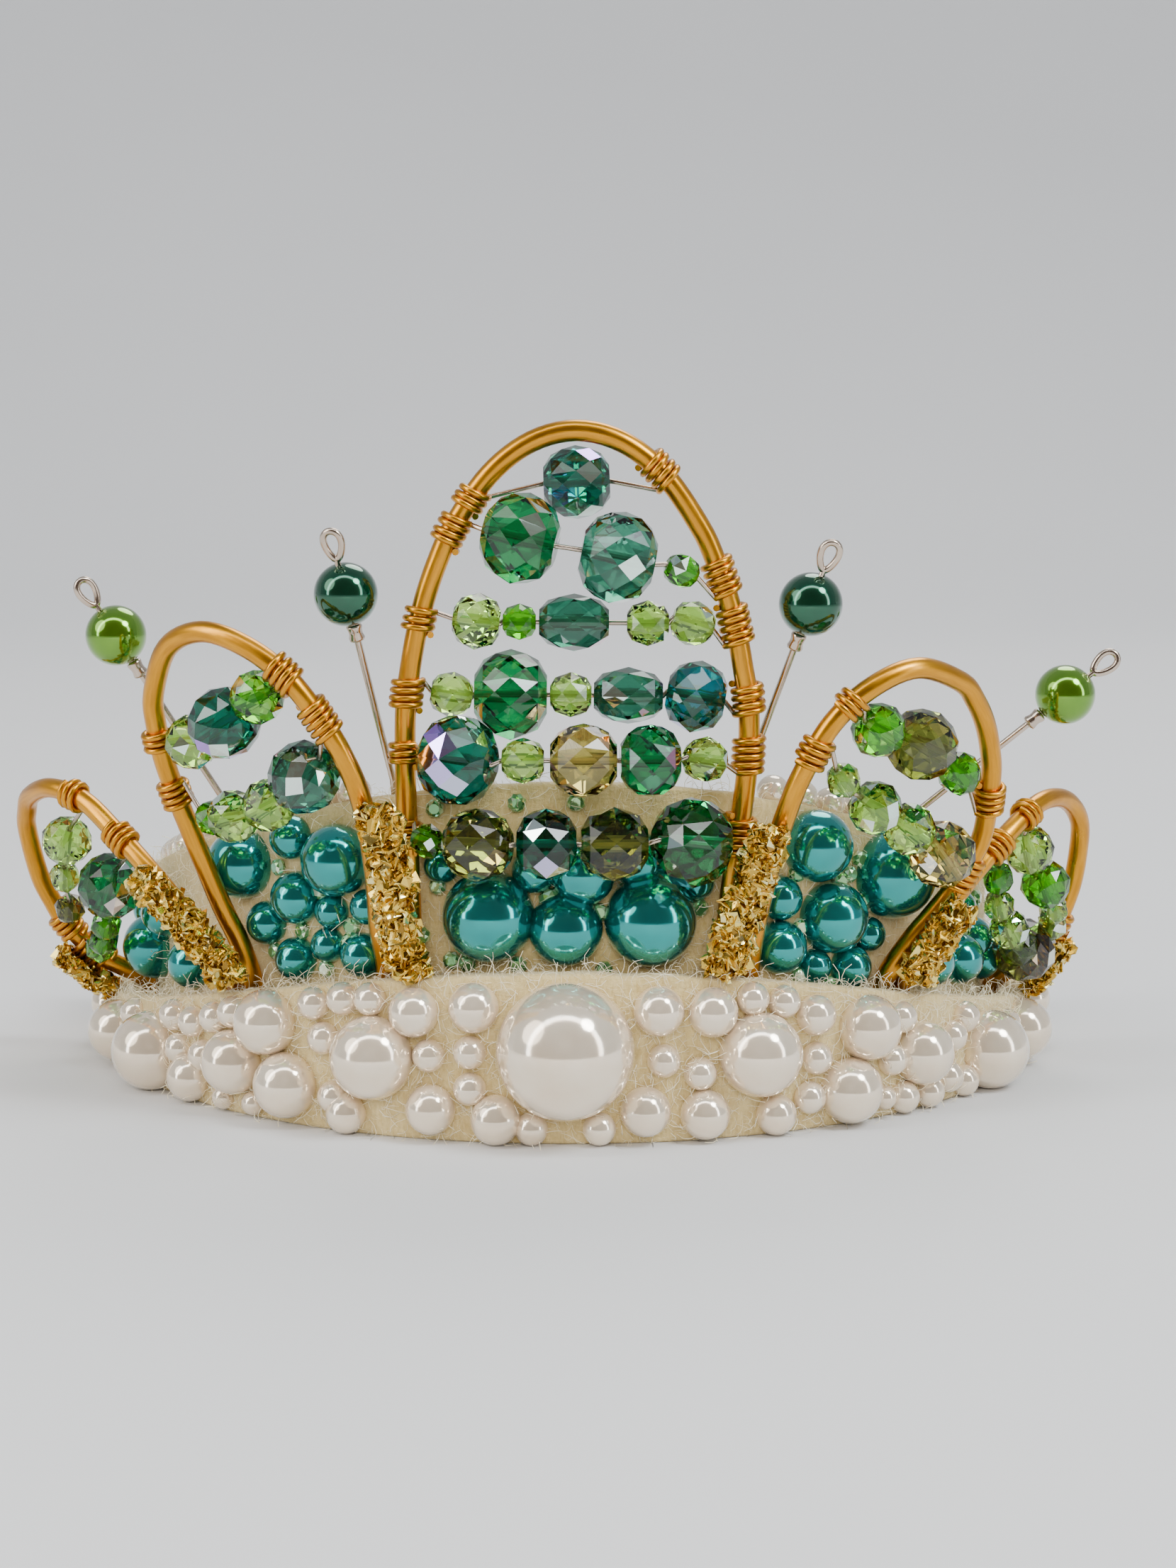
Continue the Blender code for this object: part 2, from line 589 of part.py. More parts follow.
def leave_sleeve(path, mark, towards):
    """Where a string that runs from its mark on an arch towards a point comes clear of the wound sleeve."""
    lengths = path_lengths(path)
    place = point_along(path, lengths, mark)
    after = point_along(path, lengths, mark + COLLAR_WIRE)
    along = (after - point_along(path, lengths, mark - COLLAR_WIRE)).normalized()
    away = (towards - place).normalized()
    slant = max(away.cross(along).length, LEAST_SLANT)
    return place + away * (ARCH_WIRE / 2 + COLLAR_WIRE + GAP + STRING_WIRE / 2) / slant


def string_object(name, start, end, beads, finish, parts, helpers):
    """A thin wire from one sleeve to another through its beads, the small ones fused to it.

    A bead is (centre, size, finish, own piece). A main stone is drilled, and the wire runs through it clear.
    """
    centres = [start] + [bead[0] for bead in beads] + [end]
    route = [start]
    small = bmesh.new()
    for index, (centre, (width, length), colour, own_name) in enumerate(beads):
        axis = (centres[index + 2] - centres[index]).normalized()
        route += [centre - axis * (length / 2 + BEND_OUT), centre + axis * (length / 2 + BEND_OUT)]
        if own_name:
            stone = mesh_object(own_name, crystal_shape(centre, axis, width, length), colour, parts)
            bore = rod_shape(centre - axis * length, centre + axis * length, STRING_WIRE / 2 + GAP, WIRE_SIDES)
            cut_with(stone, mesh_object(own_name + "_bore", bore, colour, helpers))
        else:
            add_shape(small, crystal_shape(centre, axis, width, length))
    route.append(end)
    wire = tube_object(name, route, [STRING_WIRE / 2] * len(route), WIRE_SIDES, finish, parts)
    if len(small.faces):
        join_to(wire, mesh_object(name + "_beads", small, finish, helpers))
    else:
        small.free()


def centre_arch(parts, helpers):
    path = centre_path()
    lengths = path_lengths(path)
    anchors = []
    for name, (left, right, bow, beads) in CENTRE_ROWS.items():
        marks = on_leg(path, "first", left), on_leg(path, "last", right)
        anchors += marks
        start, end = (point_along(path, lengths, mark) for mark in marks)
        placed = []
        for index, (across, rise, size, colour, main) in enumerate(beads):
            x = CENTRE_SIDEWAYS + across * CENTRE_HALF_WIDTH
            between = (x - start.x) / (end.x - start.x)
            z = left + (right - left) * between + rise * CRYSTAL["giant"][0]
            share = (2 * between - 1) ** ROW_FLATNESS
            own_name = f"{name}_stone_{index + 1}" if main else None
            placed.append((centre_place(x, z, bow * (1 - share)), CRYSTAL[size], colour, own_name))
        start = leave_sleeve(path, marks[0], placed[0][0])
        end = leave_sleeve(path, marks[1], placed[-1][0])
        finish = next((colour for _, _, _, colour, main in beads if not main), "wire_gold")
        string_object(name, start, end, placed, finish, parts, helpers)
    wrapped_arch("arch_centre", path, anchors, parts)


def side_arches(parts, helpers):
    anchors = {name: [] for name in SIDE_ARCHES}
    paths = {name: side_path(name) for name in SIDE_ARCHES}
    for name, (arch, first, last, finish, beads) in SIDE_STRINGS.items():
        path = paths[arch]
        top = SIDE_ARCHES[arch][0]
        marks = [on_leg(path, leg, share * top) for leg, share in (first, last)]
        anchors[arch] += marks
        placed = [(side_place(arch, angle, lean, height), CRYSTAL[size], finish, None)
                  for angle, lean, height, size in beads]
        start = leave_sleeve(path, marks[0], placed[0][0])
        end = leave_sleeve(path, marks[1], placed[-1][0])
        string_object(name, start, end, placed, finish, parts, helpers)
    for name, path in paths.items():
        wrapped_arch(name, path, anchors[name], parts)


def crust(name, arch, leg, end_share, lean_over, wound, number, parts):
    """A ridge of glued chips in front of a leg: rough sections joined from the band's edge upwards."""
    rough = random.Random(number)
    path = side_path(arch)
    lengths = path_lengths(path)
    foot = path[0] if leg == "first" else path[-1]
    foot_angle = math.degrees(math.atan2(foot.x, AXIS_Y - foot.y))
    half_turn = math.degrees(CRUST_WIDTH / 2 / LEG_RADIUS)
    edge = max(band_height(foot_angle - half_turn), band_height(foot_angle + half_turn))
    stand_off = ARCH_WIRE / 2 + GAP + (COLLAR_WIRE if wound else 0.0)
    low = on_leg(path, leg, edge + GAP + CRUST_SEAT * CRUST_DEPTH)
    high = on_leg(path, leg, end_share * SIDE_ARCHES[arch][0])
    count = max(round(abs(high - low) / CRUST_STEP), 3)
    bm = bmesh.new()
    rings = []
    for index in range(count + 1):
        share = index / count
        mark = low + (high - low) * share
        reach = (high - low) / (4 * count)
        place = point_along(path, lengths, mark)
        ahead = point_along(path, lengths, mark + reach)
        along = (ahead - point_along(path, lengths, mark - reach)).normalized()
        angle = math.degrees(math.atan2(place.x, AXIS_Y - place.y))
        across = along.cross(outward(angle)).normalized()
        out = across.cross(along).normalized()
        shrink = 1.0 - CRUST_TAPER * share
        shift = lean_over * CRUST_WIDTH * (1 - share)
        if across.dot(at(angle + 1, LEG_RADIUS, 0) - at(angle, LEG_RADIUS, 0)) < 0:
            shift = -shift
        centre = place + across * shift + out * stand_off
        ring = []
        for corner in range(CRUST_CORNERS):
            turn = math.pi * corner / (CRUST_CORNERS - 1)
            jut = math.sin(turn) * CRUST_DEPTH * rough.uniform(*CRUST_JUT)
            side = math.cos(turn) * CRUST_WIDTH / 2 * shrink * rough.uniform(*CRUST_SPREAD)
            ring.append(bm.verts.new(centre + across * side + out * jut))
        rings.append(ring)
    for first, second in zip(rings, rings[1:]):
        for side in range(CRUST_CORNERS):
            after = (side + 1) % CRUST_CORNERS
            bm.faces.new((first[side], first[after], second[after], second[side]))
    bm.faces.new(rings[0])
    bm.faces.new(rings[-1])
    mesh_object(name, bm, "chips_gold", parts)


def head_pin(name, foot_angle, angle, lean, height, turn, finish, parts, helpers):
    """A wire glued behind the wall, leaning out to a crimp, a pearl and a bent eye."""
    behind = BEHIND_WALL - PIN_WIRE / 2
    rim = wall_height(foot_angle)
    knee = at(foot_angle, behind, rim + PIN_WIRE)
    pearl = at(angle, LEG_RADIUS + lean, height)
    lie = (pearl - knee).normalized()
    eye = pearl + lie * (PIN_PEARL / 2 + PIN_LOOP / 2 + PIN_WIRE)
    side = Matrix.Rotation(math.radians(turn), 3, lie) @ lie.cross(outward(angle)).normalized()
    loop = []
    for step in range(LOOP_CORNERS):
        around = math.radians(LOOP_START + LOOP_TURN * step / (LOOP_CORNERS - 1))
        loop.append(eye + (lie * math.sin(around) + side * math.cos(around)) * (PIN_LOOP - PIN_WIRE) / 2)
    route = [at(foot_angle, behind, rim - PIN_ROOT), knee, pearl] + loop
    wire = tube_object(name, route, [PIN_WIRE / 2] * len(route), WIRE_SIDES, finish, parts)
    beads = bmesh.new()
    add_shape(beads, pearl_shape(pearl, lie, PIN_PEARL, LARGE_PEARL_RINGS))
    below = pearl - lie * (PIN_PEARL / 2 - CRIMP_SUNK)
    add_shape(beads, rod_shape(below - lie * PIN_CRIMP, below, PIN_CRIMP / 2, CRIMP_SIDES))
    join_to(wire, mesh_object(name + "_beads", beads, finish, helpers))


def comb(parts, helpers):
    """A plain metal comb behind the wall: a bar, and teeth that run down it and turn in at their tips."""
    radius = BEHIND_WALL - COMB_BAR / 2
    count = COMB_TEETH - 1
    angles = [-COMB_SPAN + 2 * COMB_SPAN * index / count for index in range(COMB_TEETH)]
    ends = COMB_SPAN + COMB_OVERHANG
    bar_path = [at(angle, radius, COMB_HEIGHT) for angle in [-ends] + angles + [ends]]
    bar = tube_object("comb", bar_path, [COMB_BAR / 2] * len(bar_path), BAR_SIDES, "wire_silver", parts)
    teeth = bmesh.new()
    for angle in angles:
        middle = at(angle, radius, (COMB_HEIGHT + COMB_FOOT) / 2)
        tip = at(angle, radius - COMB_HOOK, COMB_FOOT)
        tooth = tube_object("tooth", [at(angle, radius, COMB_HEIGHT), middle, tip],
                            [COMB_TOOTH / 2, COMB_TOOTH / 2, COMB_TOOTH / 3], WIRE_SIDES, "wire_silver", helpers)
        teeth.from_mesh(tooth.data)
        bpy.data.objects.remove(tooth, do_unlink=True)
    join_to(bar, mesh_object("comb_teeth", teeth, "wire_silver", helpers))


clear_scene()
tiara = new_collection("beaded_tiara_comb")
shapes_to_join = new_collection("shapes_to_join")
felt_band(tiara, shapes_to_join)
felt_wall(tiara, shapes_to_join)
main_pearls(tiara)
centre_arch(tiara, shapes_to_join)
side_arches(tiara, shapes_to_join)
for order, (crust_name, crust_row) in enumerate(CRUSTS.items()):
    crust(crust_name, *crust_row, order + 1, tiara)
for pin_name, pin_row in PINS.items():
    head_pin(pin_name, *pin_row, tiara, shapes_to_join)
comb(tiara, shapes_to_join)
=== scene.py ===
from math import atan2, cos, degrees, hypot, pi, radians, sin, tau
import random

import bmesh
import bpy
from mathutils import Matrix, Vector, noise
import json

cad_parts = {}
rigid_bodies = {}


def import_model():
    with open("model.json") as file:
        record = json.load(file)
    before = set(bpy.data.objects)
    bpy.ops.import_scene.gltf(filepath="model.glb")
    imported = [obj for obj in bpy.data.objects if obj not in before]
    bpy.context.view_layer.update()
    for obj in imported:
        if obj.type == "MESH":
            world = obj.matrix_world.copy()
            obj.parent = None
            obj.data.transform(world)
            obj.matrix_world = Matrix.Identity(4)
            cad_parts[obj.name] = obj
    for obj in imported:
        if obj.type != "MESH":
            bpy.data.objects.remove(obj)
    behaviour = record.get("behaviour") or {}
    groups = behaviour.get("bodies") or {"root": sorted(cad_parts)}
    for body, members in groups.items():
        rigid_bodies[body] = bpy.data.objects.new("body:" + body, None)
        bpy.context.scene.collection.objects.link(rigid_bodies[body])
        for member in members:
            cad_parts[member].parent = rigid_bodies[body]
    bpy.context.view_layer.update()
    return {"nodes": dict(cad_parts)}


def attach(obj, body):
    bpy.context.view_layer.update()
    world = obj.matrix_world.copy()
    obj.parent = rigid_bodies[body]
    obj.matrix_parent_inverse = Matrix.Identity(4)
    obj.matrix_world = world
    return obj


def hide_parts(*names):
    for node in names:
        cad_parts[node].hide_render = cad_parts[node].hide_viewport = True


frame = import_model()
MM = 0.001


# Felt band: a strip of thick cream felt, bent round the head and cut low at the ends.
# It stands on its lower edge. The pearls are glued to its outer face, and its cut edges are furry.
AXIS_Y = 60.75 * MM
OPEN_ANGLE = 100
BAND_RADIUS = 62 * MM
BAND_FELT = 2.5 * MM
FELT_CORNER = 0.5 * MM
EDGE_WAVE = 0.25 * MM
FACE_WAVE = 0.14 * MM
FIBRE_LENGTH = 2.2 * MM
FIBRE_RADIUS = 0.017


def new_object(name, data):
    piece = bpy.data.objects.new(name, data)
    bpy.context.scene.collection.objects.link(piece)
    return piece


class Signal:
    """One output of a node. Sums and products of signals add the Math nodes that they need."""

    def __init__(self, bench, socket):
        self.bench = bench
        self.socket = socket

    def __getitem__(self, name):
        return Signal(self.bench, self.socket.node.outputs[name])

    def _math(self, operation, first, second):
        return self.bench.node("ShaderNodeMath", [first, second], operation=operation)

    def __add__(self, other):
        return self._math("ADD", self, other)

    __radd__ = __add__

    def __sub__(self, other):
        return self._math("SUBTRACT", self, other)

    def __mul__(self, other):
        return self._math("MULTIPLY", self, other)

    __rmul__ = __mul__

    def __gt__(self, other):
        return self._math("GREATER_THAN", self, other)


class Bench:
    """A node tree that is being built."""

    def __init__(self, tree):
        self.tree = tree

    def node(self, kind, sockets=(), output=0, **settings):
        """Adds a node with its settings and the values or links of its sockets, and gives one output."""
        made = self.tree.nodes.new(kind)
        for name, value in settings.items():
            setattr(made, name, value)
        pairs = sockets.items() if isinstance(sockets, dict) else enumerate(sockets)
        for key, value in pairs:
            if isinstance(value, Signal):
                self.tree.links.new(value.socket, made.inputs[key])
            elif value is not None:
                made.inputs[key].default_value = value
        return Signal(self, made.outputs[output])

    def mix(self, share, first, second):
        """A colour between two others."""
        colours = [colour if isinstance(colour, Signal) else (*colour, 1) for colour in (first, second)]
        sockets = {0: share, 6: colours[0], 7: colours[1]}
        return self.node("ShaderNodeMix", sockets, 2, data_type="RGBA")

    def ramp(self, where, *stops):
        """A scale of colours."""
        made = self.node("ShaderNodeValToRGB", [where])
        scale = made.socket.node.color_ramp.elements
        for index, (at, colour) in enumerate(stops):
            stop = scale[index] if index < 2 else scale.new(at)
            stop.position = at
            stop.color = (*colour, 1)
        return made

    def grain(self, scale, detail=2.0, stretch=None, roughness=0.5):
        """Noise in the object's own coordinates, finer along the axes that stretch makes larger."""
        where = self.node("ShaderNodeTexCoord")["Object"]
        if stretch:
            where = self.node("ShaderNodeMapping", {"Vector": where, "Scale": stretch})
        return self.node("ShaderNodeTexNoise", {
            "Vector": where, "Scale": scale, "Detail": detail, "Roughness": roughness})

    def attribute(self, name):
        return self.node("ShaderNodeAttribute", attribute_name=name)["Fac"]


class Finish(Bench):
    """A material with one Principled shader, whose own sockets take what is the same all over."""

    def __init__(self, name, **constants):
        self.name = name
        self.material = bpy.data.materials.new(name)
        self.material.use_nodes = True
        super().__init__(self.material.node_tree)
        self.shader = self.tree.nodes["Principled BSDF"]
        self.set(**constants)

    def set(self, **values):
        for name, value in values.items():
            socket = self.shader.inputs[name.replace("_", " ").title().replace("Ior", "IOR")]
            if isinstance(value, Signal):
                self.tree.links.new(value.socket, socket)
            else:
                socket.default_value = (*value, 1) if socket.type == "RGBA" and len(value) == 3 else value

    def bump(self, height, distance, strength=1.0):
        self.set(Normal=self.node("ShaderNodeBump", {
            "Height": height, "Distance": distance, "Strength": strength}))


class Recipe(Bench):
    """A geometry node tree with named inputs. It ends in real, plain geometry with a material on it."""

    def __init__(self, name, **inputs):
        super().__init__(bpy.data.node_groups.new(name, "GeometryNodeTree"))
        face = self.tree.interface
        face.new_socket("Geometry", in_out="INPUT", socket_type="NodeSocketGeometry")
        for key, kind in inputs.items():
            face.new_socket(key, in_out="INPUT", socket_type="NodeSocket" + kind)
        face.new_socket("Material", in_out="INPUT", socket_type="NodeSocketMaterial")
        face.new_socket("Geometry", in_out="OUTPUT", socket_type="NodeSocketGeometry")
        self.given = self.node("NodeGroupInput")

    def strew(self, thing, lean, sizes, seeds, pick=False):
        """Strews things over the given mesh, each turned and sized at random."""
        given = self.given
        spots = self.node("GeometryNodeDistributePointsOnFaces", {
            "Mesh": given["Geometry"], "Density": given["Density"], "Seed": given["Seed"]})
        toss = self.node("FunctionNodeRandomValue", {
            0: (-lean, -lean, -3.1), 1: (lean, lean, 3.1), "Seed": seeds[0]}, data_type="FLOAT_VECTOR")
        turned = self.node("FunctionNodeRotateRotation", {
            0: spots["Rotation"], 1: self.node("FunctionNodeEulerToRotation", [toss])}, rotation_space="LOCAL")
        grade = self.node("FunctionNodeRandomValue", {2: sizes[0], 3: sizes[1], "Seed": seeds[1]}, 1)
        return self.node("GeometryNodeInstanceOnPoints", {
            "Points": spots["Points"], "Instance": thing, "Pick Instance": pick, "Rotation": turned,
            "Scale": grade * given["Size"]})

    def cut_below(self, geometry, level):
        """Raises all that lies below a level up to it."""
        spot = self.node("ShaderNodeSeparateXYZ", [self.node("GeometryNodeInputPosition")])
        height = self.node("ShaderNodeMath", [spot["Z"], level], operation="MAXIMUM")
        return self.node("GeometryNodeSetPosition", {
            "Geometry": geometry, "Position": self.node("ShaderNodeCombineXYZ", [
                spot["X"], spot["Y"], height])})

    def done(self, geometry, smooth=True):
        real = self.node("GeometryNodeRealizeInstances", {"Geometry": geometry})
        shaded = self.node("GeometryNodeSetShadeSmooth", {"Geometry": real, "Shade Smooth": smooth})
        finished = self.node("GeometryNodeSetMaterial", {
            "Geometry": shaded, "Material": self.given["Material"]})
        end = self.tree.nodes.new("NodeGroupOutput")
        self.tree.links.new(finished.socket, end.inputs[0])

    def make(self, name, base, **values):
        """Runs the tree on a mesh and keeps the plain mesh that comes out as a new object."""
        piece = new_object(name, base)
        worker = piece.modifiers.new("recipe", "NODES")
        worker.node_group = self.tree
        for item in self.tree.interface.items_tree:
            if item.item_type == "SOCKET" and item.in_out == "INPUT" and item.name in values:
                worker[item.identifier] = values[item.name]
        graph = bpy.context.evaluated_depsgraph_get()
        result = bpy.data.meshes.new_from_object(piece.evaluated_get(graph), depsgraph=graph)
        piece.modifiers.remove(worker)
        piece.data = result
        result.name = name
        return piece


def place(angle, radius, height):
    turn = radians(angle)
    return Vector((radius * sin(turn), AXIS_Y - radius * cos(turn), height))


def outward(angle):
    turn = radians(angle)
    return Vector((sin(turn), -cos(turn), 0))


def band_top(angle):
    return (8 + 12 * max(cos(radians(angle)), 0) ** 2) * MM


def plain_object(name, bm, finish, smooth=True):
    """A mesh object at the origin with outward faces."""
    bmesh.ops.recalc_face_normals(bm, faces=bm.faces)
    mesh = bpy.data.meshes.new(name)
    bm.to_mesh(mesh)
    bm.free()
    mesh.materials.append(finish.material)
    mesh.polygons.foreach_set("use_smooth", [smooth] * len(mesh.polygons))
    return new_object(name, mesh)


def settle(piece, slot, *nodes):
    """The piece rides on the tiara and stands for these nodes, which are hidden. The slot is not used."""
    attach(piece, "root")
    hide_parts(*nodes)
    return piece


def felt_strip(name, outside, thick, top_of, seed):
    """A strip with softly rounded cut edges, a little wavy, as felt cut by hand is."""
    bm = bmesh.new()
    rings = []
    corner = [(FELT_CORNER * (1 - cos(radians(t))), FELT_CORNER * (1 - sin(radians(t))))
              for t in (0, 30, 60, 90)]
    for step in range(2 * OPEN_ANGLE + 1):
        angle = step - OPEN_ANGLE
        top = top_of(angle) + EDGE_WAVE * noise.noise(Vector((angle * 0.22, seed, 0)))
        outline = [(d, top - h) for d, h in corner] + [(thick - d, top - h) for d, h in reversed(corner)]
        outline += [(thick, top * (1 - k / 8)) for k in range(1, 8)]
        outline += [(thick - d, h) for d, h in corner] + [(d, h) for d, h in reversed(corner)]
        outline += [(0, top * k / 12) for k in range(1, 12)]
        ring = []
        for depth, height in outline:
            wave = FACE_WAVE * noise.noise(Vector((angle * 0.13, height * 120, seed + 3)))
            ring.append(bm.verts.new(place(angle, outside - depth + wave, height)))
        rings.append(ring)
    for first, second in zip(rings, rings[1:]):
        for side in range(len(first)):
            after = (side + 1) % len(first)
            bm.faces.new((first[side], first[after], second[after], second[side]))
    bm.faces.new(rings[0])
    bm.faces.new(rings[-1])
    return plain_object(name, bm, felt_cream)


def lay_felt(name, outside, thick, top_of, wave_seed, density, seed, node):
    """One layer of felt and the fibres that have come loose from it."""
    felt = felt_strip(name + "_felt", outside, thick, top_of, wave_seed)
    fur = fibres.make(name + "_fibres", felt.data.copy(), Density=density, Size=FIBRE_LENGTH, Seed=seed,
                      Material=felt_fluff.material)
    for piece in (felt, fur):
        settle(piece, "felt_cream", node)


felt_cream = Finish("felt_cream", Roughness=0.95, Sheen_Weight=0.5, Sheen_Roughness=0.45,
                    Sheen_Tint=(1, 0.96, 0.82), Specular_IOR_Level=0.15)
clouds = felt_cream.grain(90, 4)
matted = felt_cream.grain(1900, 5, (1.0, 1.0, 0.4), 0.75)
matted_too = felt_cream.grain(1300, 4, (0.4, 0.4, 1.3), 0.7)
pale_felt = felt_cream.mix(clouds, (0.8, 0.63, 0.28), (0.92, 0.79, 0.46))
# The dark share follows the noise that also makes the bump's hollows: it is partly the felt's own uneven tone
# and partly painted shade in those hollows.
felt_cream.set(Base_Color=felt_cream.mix(matted * 1.7 - 0.3, (0.52, 0.36, 0.12), pale_felt))
felt_cream.bump((matted + matted_too) * 0.5, 0.6 * MM, 1.0)
# The loose fibres are the same felt as the strip. Their paler colour is painted light, so that they look lit
# against it.
felt_fluff = Finish("felt_fluff", Roughness=0.9, Sheen_Weight=0.4, Specular_IOR_Level=0.15)
felt_fluff.set(Base_Color=felt_fluff.mix(felt_fluff.grain(600, 2), (0.9, 0.78, 0.5), (1, 0.95, 0.76)))

fibres = Recipe("loose_fibres", Density="Float", Size="Float", Seed="Int")
hair_line = fibres.node("GeometryNodeCurveQuadraticBezier", {
    "Resolution": 3, "Start": (0, 0, 0), "Middle": (0.35, 0.1, 0.7), "End": (1.0, -0.25, 0.45)})
hair_ring = fibres.node("GeometryNodeCurvePrimitiveCircle", {"Resolution": 3, "Radius": FIBRE_RADIUS})
hair = fibres.node("GeometryNodeCurveToMesh", {"Curve": hair_line, "Profile Curve": hair_ring})
loose = fibres.node("GeometryNodeRealizeInstances", {
    "Geometry": fibres.strew(hair, 0.9, (0.35, 1.25), (5, 9))})
fibres.done(fibres.cut_below(loose, 0.0))
lay_felt("band", BAND_RADIUS, BAND_FELT, band_top, 1, 1500000.0, 3, "pearl_band")


# Ivory pearls: flat-backed imitation pearls in five sizes, each pressed into a dab of glue on the band.
# The coating is thin and pearly over a white core, with a warm shade where the light falls straight in.
BAND_PEARLS = (
    (-84, 0.62, 6), (-69.5, 0.5, 8), (-48, 0.24, 6), (-40, 0.44, 8), (-34.9, 0.76, 8), (-32.2, 0.3, 8),
    (-24.6, 0.13, 5), (-16.5, 0.8, 6), (-14.7, 0.2, 6), (-9.9, 0.82, 6), (-7.6, 0.15, 6), (8.3, 0.2, 6),
    (9.7, 0.8, 6), (14.8, 0.17, 6), (15.6, 0.8, 6), (23, 0.13, 5), (27.8, 0.8, 5), (32.3, 0.26, 8),
    (34.8, 0.72, 8), (43.2, 0.5, 8), (70, 0.52, 8), (83.5, 0.72, 6),
    (-62.5, 0.8, 4), (-63.6, 0.24, 4), (-51.4, 0.82, 4), (-50.4, 0.5, 4), (-47.4, 0.76, 4), (-45.6, 0.46, 4),
    (-43.4, 0.8, 4), (-40.3, 0.84, 4), (-28.6, 0.88, 4), (-27.4, 0.64, 4), (-26.2, 0.24, 4), (-24.9, 0.9, 4),
    (-21.6, 0.89, 4), (-14.9, 0.53, 4), (-10.4, 0.55, 4), (-10.4, 0.33, 4), (-3.8, 0.1, 4), (3.4, 0.1, 4),
    (10.3, 0.5, 4), (14.3, 0.42, 4), (20.2, 0.89, 4), (23.9, 0.88, 4), (27.2, 0.23, 4), (28, 0.5, 4),
    (38.6, 0.46, 4), (40.6, 0.14, 4), (40, 0.8, 4), (44.9, 0.14, 4), (48.6, 0.24, 4), (49.2, 0.62, 4),
    (51.8, 0.8, 4), (51.9, 0.16, 4), (63.4, 0.2, 4), (63.6, 0.66, 4), (-42.2, 0.12, 3), (-37.4, 0.12, 3),
    (37.7, 0.16, 3),
)
BAND_MAIN_PEARLS = {
    "pearl_front": (-0.2, 0.57, 16), "pearl_left": (-21.2, 0.52, 10), "pearl_right": (20.9, 0.54, 10),
    "pearl_far_left": (-56.4, 0.42, 10), "pearl_far_right": (57.2, 0.42, 10),
}
PEARL_SHOWS = 0.6
FLAT_BACK = -0.13
WHOLE_BALL = -0.5

pearls = Recipe("set_pearls", Sides="Int", Rings="Int", Back="Float")
ball = pearls.node("GeometryNodeMeshUVSphere", {
    "Segments": pearls.given["Sides"], "Rings": pearls.given["Rings"], "Radius": 0.5})
width = pearls.node("GeometryNodeInputNamedAttribute", {"Name": "width"})
tilt = pearls.node("GeometryNodeInputNamedAttribute", {"Name": "tilt"}, data_type="FLOAT_VECTOR")
pearls.done(pearls.node("GeometryNodeInstanceOnPoints", {
    "Points": pearls.given["Geometry"], "Instance": pearls.cut_below(ball, pearls.given["Back"]),
    "Scale": width, "Rotation": pearls.node("FunctionNodeEulerToRotation", [tilt])}))


def set_pearls(name, beads, finish, node, sides=28, rings=16, back=FLAT_BACK):
    """One piece of pearls from (centre, width, axis). The back lies at a share of the width."""
    mesh = bpy.data.meshes.new("places")
    mesh.from_pydata([centre for centre, _, _ in beads], [], [])
    widths = mesh.attributes.new("width", "FLOAT", "POINT")
    tilts = mesh.attributes.new("tilt", "FLOAT_VECTOR", "POINT")
    for index, (_, wide, axis) in enumerate(beads):
        widths.data[index].value = wide
        tilts.data[index].vector = axis.to_track_quat("Z", "Y").to_euler()
    piece = pearls.make(name, mesh, Sides=sides, Rings=rings, Back=back, Material=finish.material)
    settle(piece, finish.name, node)


def glued_pearl(angle, radius, height, wide):
    return place(angle, radius + wide * (PEARL_SHOWS - 0.5), height), wide, outward(angle)


def band_pearl(angle, share, wide):
    height = max(share * band_top(angle), wide * MM / 2)
    return glued_pearl(angle, BAND_RADIUS, height, wide * MM)


def pearl_finish(name, core, glow, metal):
    """Pearly lacquer: faint clouds and wrinkles in the coating under a clear top coat."""
    made = Finish(name, Coat_Weight=1.0, Coat_Roughness=0.03, Coat_IOR=1.5, Metallic=metal)
    cloud = made.grain(260, 3)
    wrinkle = made.grain(700, 5, None, 0.6)
    made.set(Base_Color=made.mix(cloud, core, glow), Roughness=0.08 + 0.09 * wrinkle)
    made.bump(wrinkle, 0.03 * MM, 0.3)
    return made


pearl_ivory = pearl_finish("pearl_ivory", (0.82, 0.66, 0.48), (0.95, 0.85, 0.69), 0.58)
set_pearls("band_pearls", [band_pearl(*pearl) for pearl in BAND_PEARLS], pearl_ivory, "pearl_band")
for node, pearl in BAND_MAIN_PEARLS.items():
    set_pearls(node + "_bead", [band_pearl(*pearl)], pearl_ivory, node, 64, 40)


# Felt wall: the second, taller layer of the same felt, glued behind the legs of the arches.
# Its rim drops from the front middle to the ends.
WALL_RADIUS = 56.4 * MM
WALL_FELT = 2.2 * MM


def wall_top(angle):
    return (24 + 17.5 * max(cos(radians(angle)), 0) ** 1.6) * MM


lay_felt("wall", WALL_RADIUS, WALL_FELT, wall_top, 7, 800000.0, 8, "teal_wall")


# Teal pearls: the same flat-backed pearls in a deep teal metallic lacquer, glued to the wall
# between the legs. The lacquer makes them a little wider than their nominal size.
WALL_PEARLS = (
    (-76.8, 0.62, 5), (-66, 0.58, 6), (-56.4, 0.2, 6), (-39.8, 0.38, 5), (-35.6, 0.86, 5),
    (-34.8, 0.5, 6), (1.8, 0.51, 7), (8.2, 0.6, 6), (26.2, 0.17, 6), (26.2, 0.45, 5), (52.2, 0.2, 6),
    (55.4, 0.48, 5),
    (60.6, 0.24, 6), (65.8, 0.4, 5), (70.8, 0.24, 5),
    (-35, 0.14, 5), (-30.2, 0.2, 4), (-29.6, 0.39, 4), (-25.3, 0.12, 5), (-24.6, 0.39, 4),
    (-15, 0.58, 4),
    (-3.8, 0.53, 5), (15.4, 0.49, 4), (31.2, 0.08, 4), (36.7, 0.1, 5), (39.9, 0.31, 4), (61, 0.6, 4),
    (74.8, 0.34, 4),
)
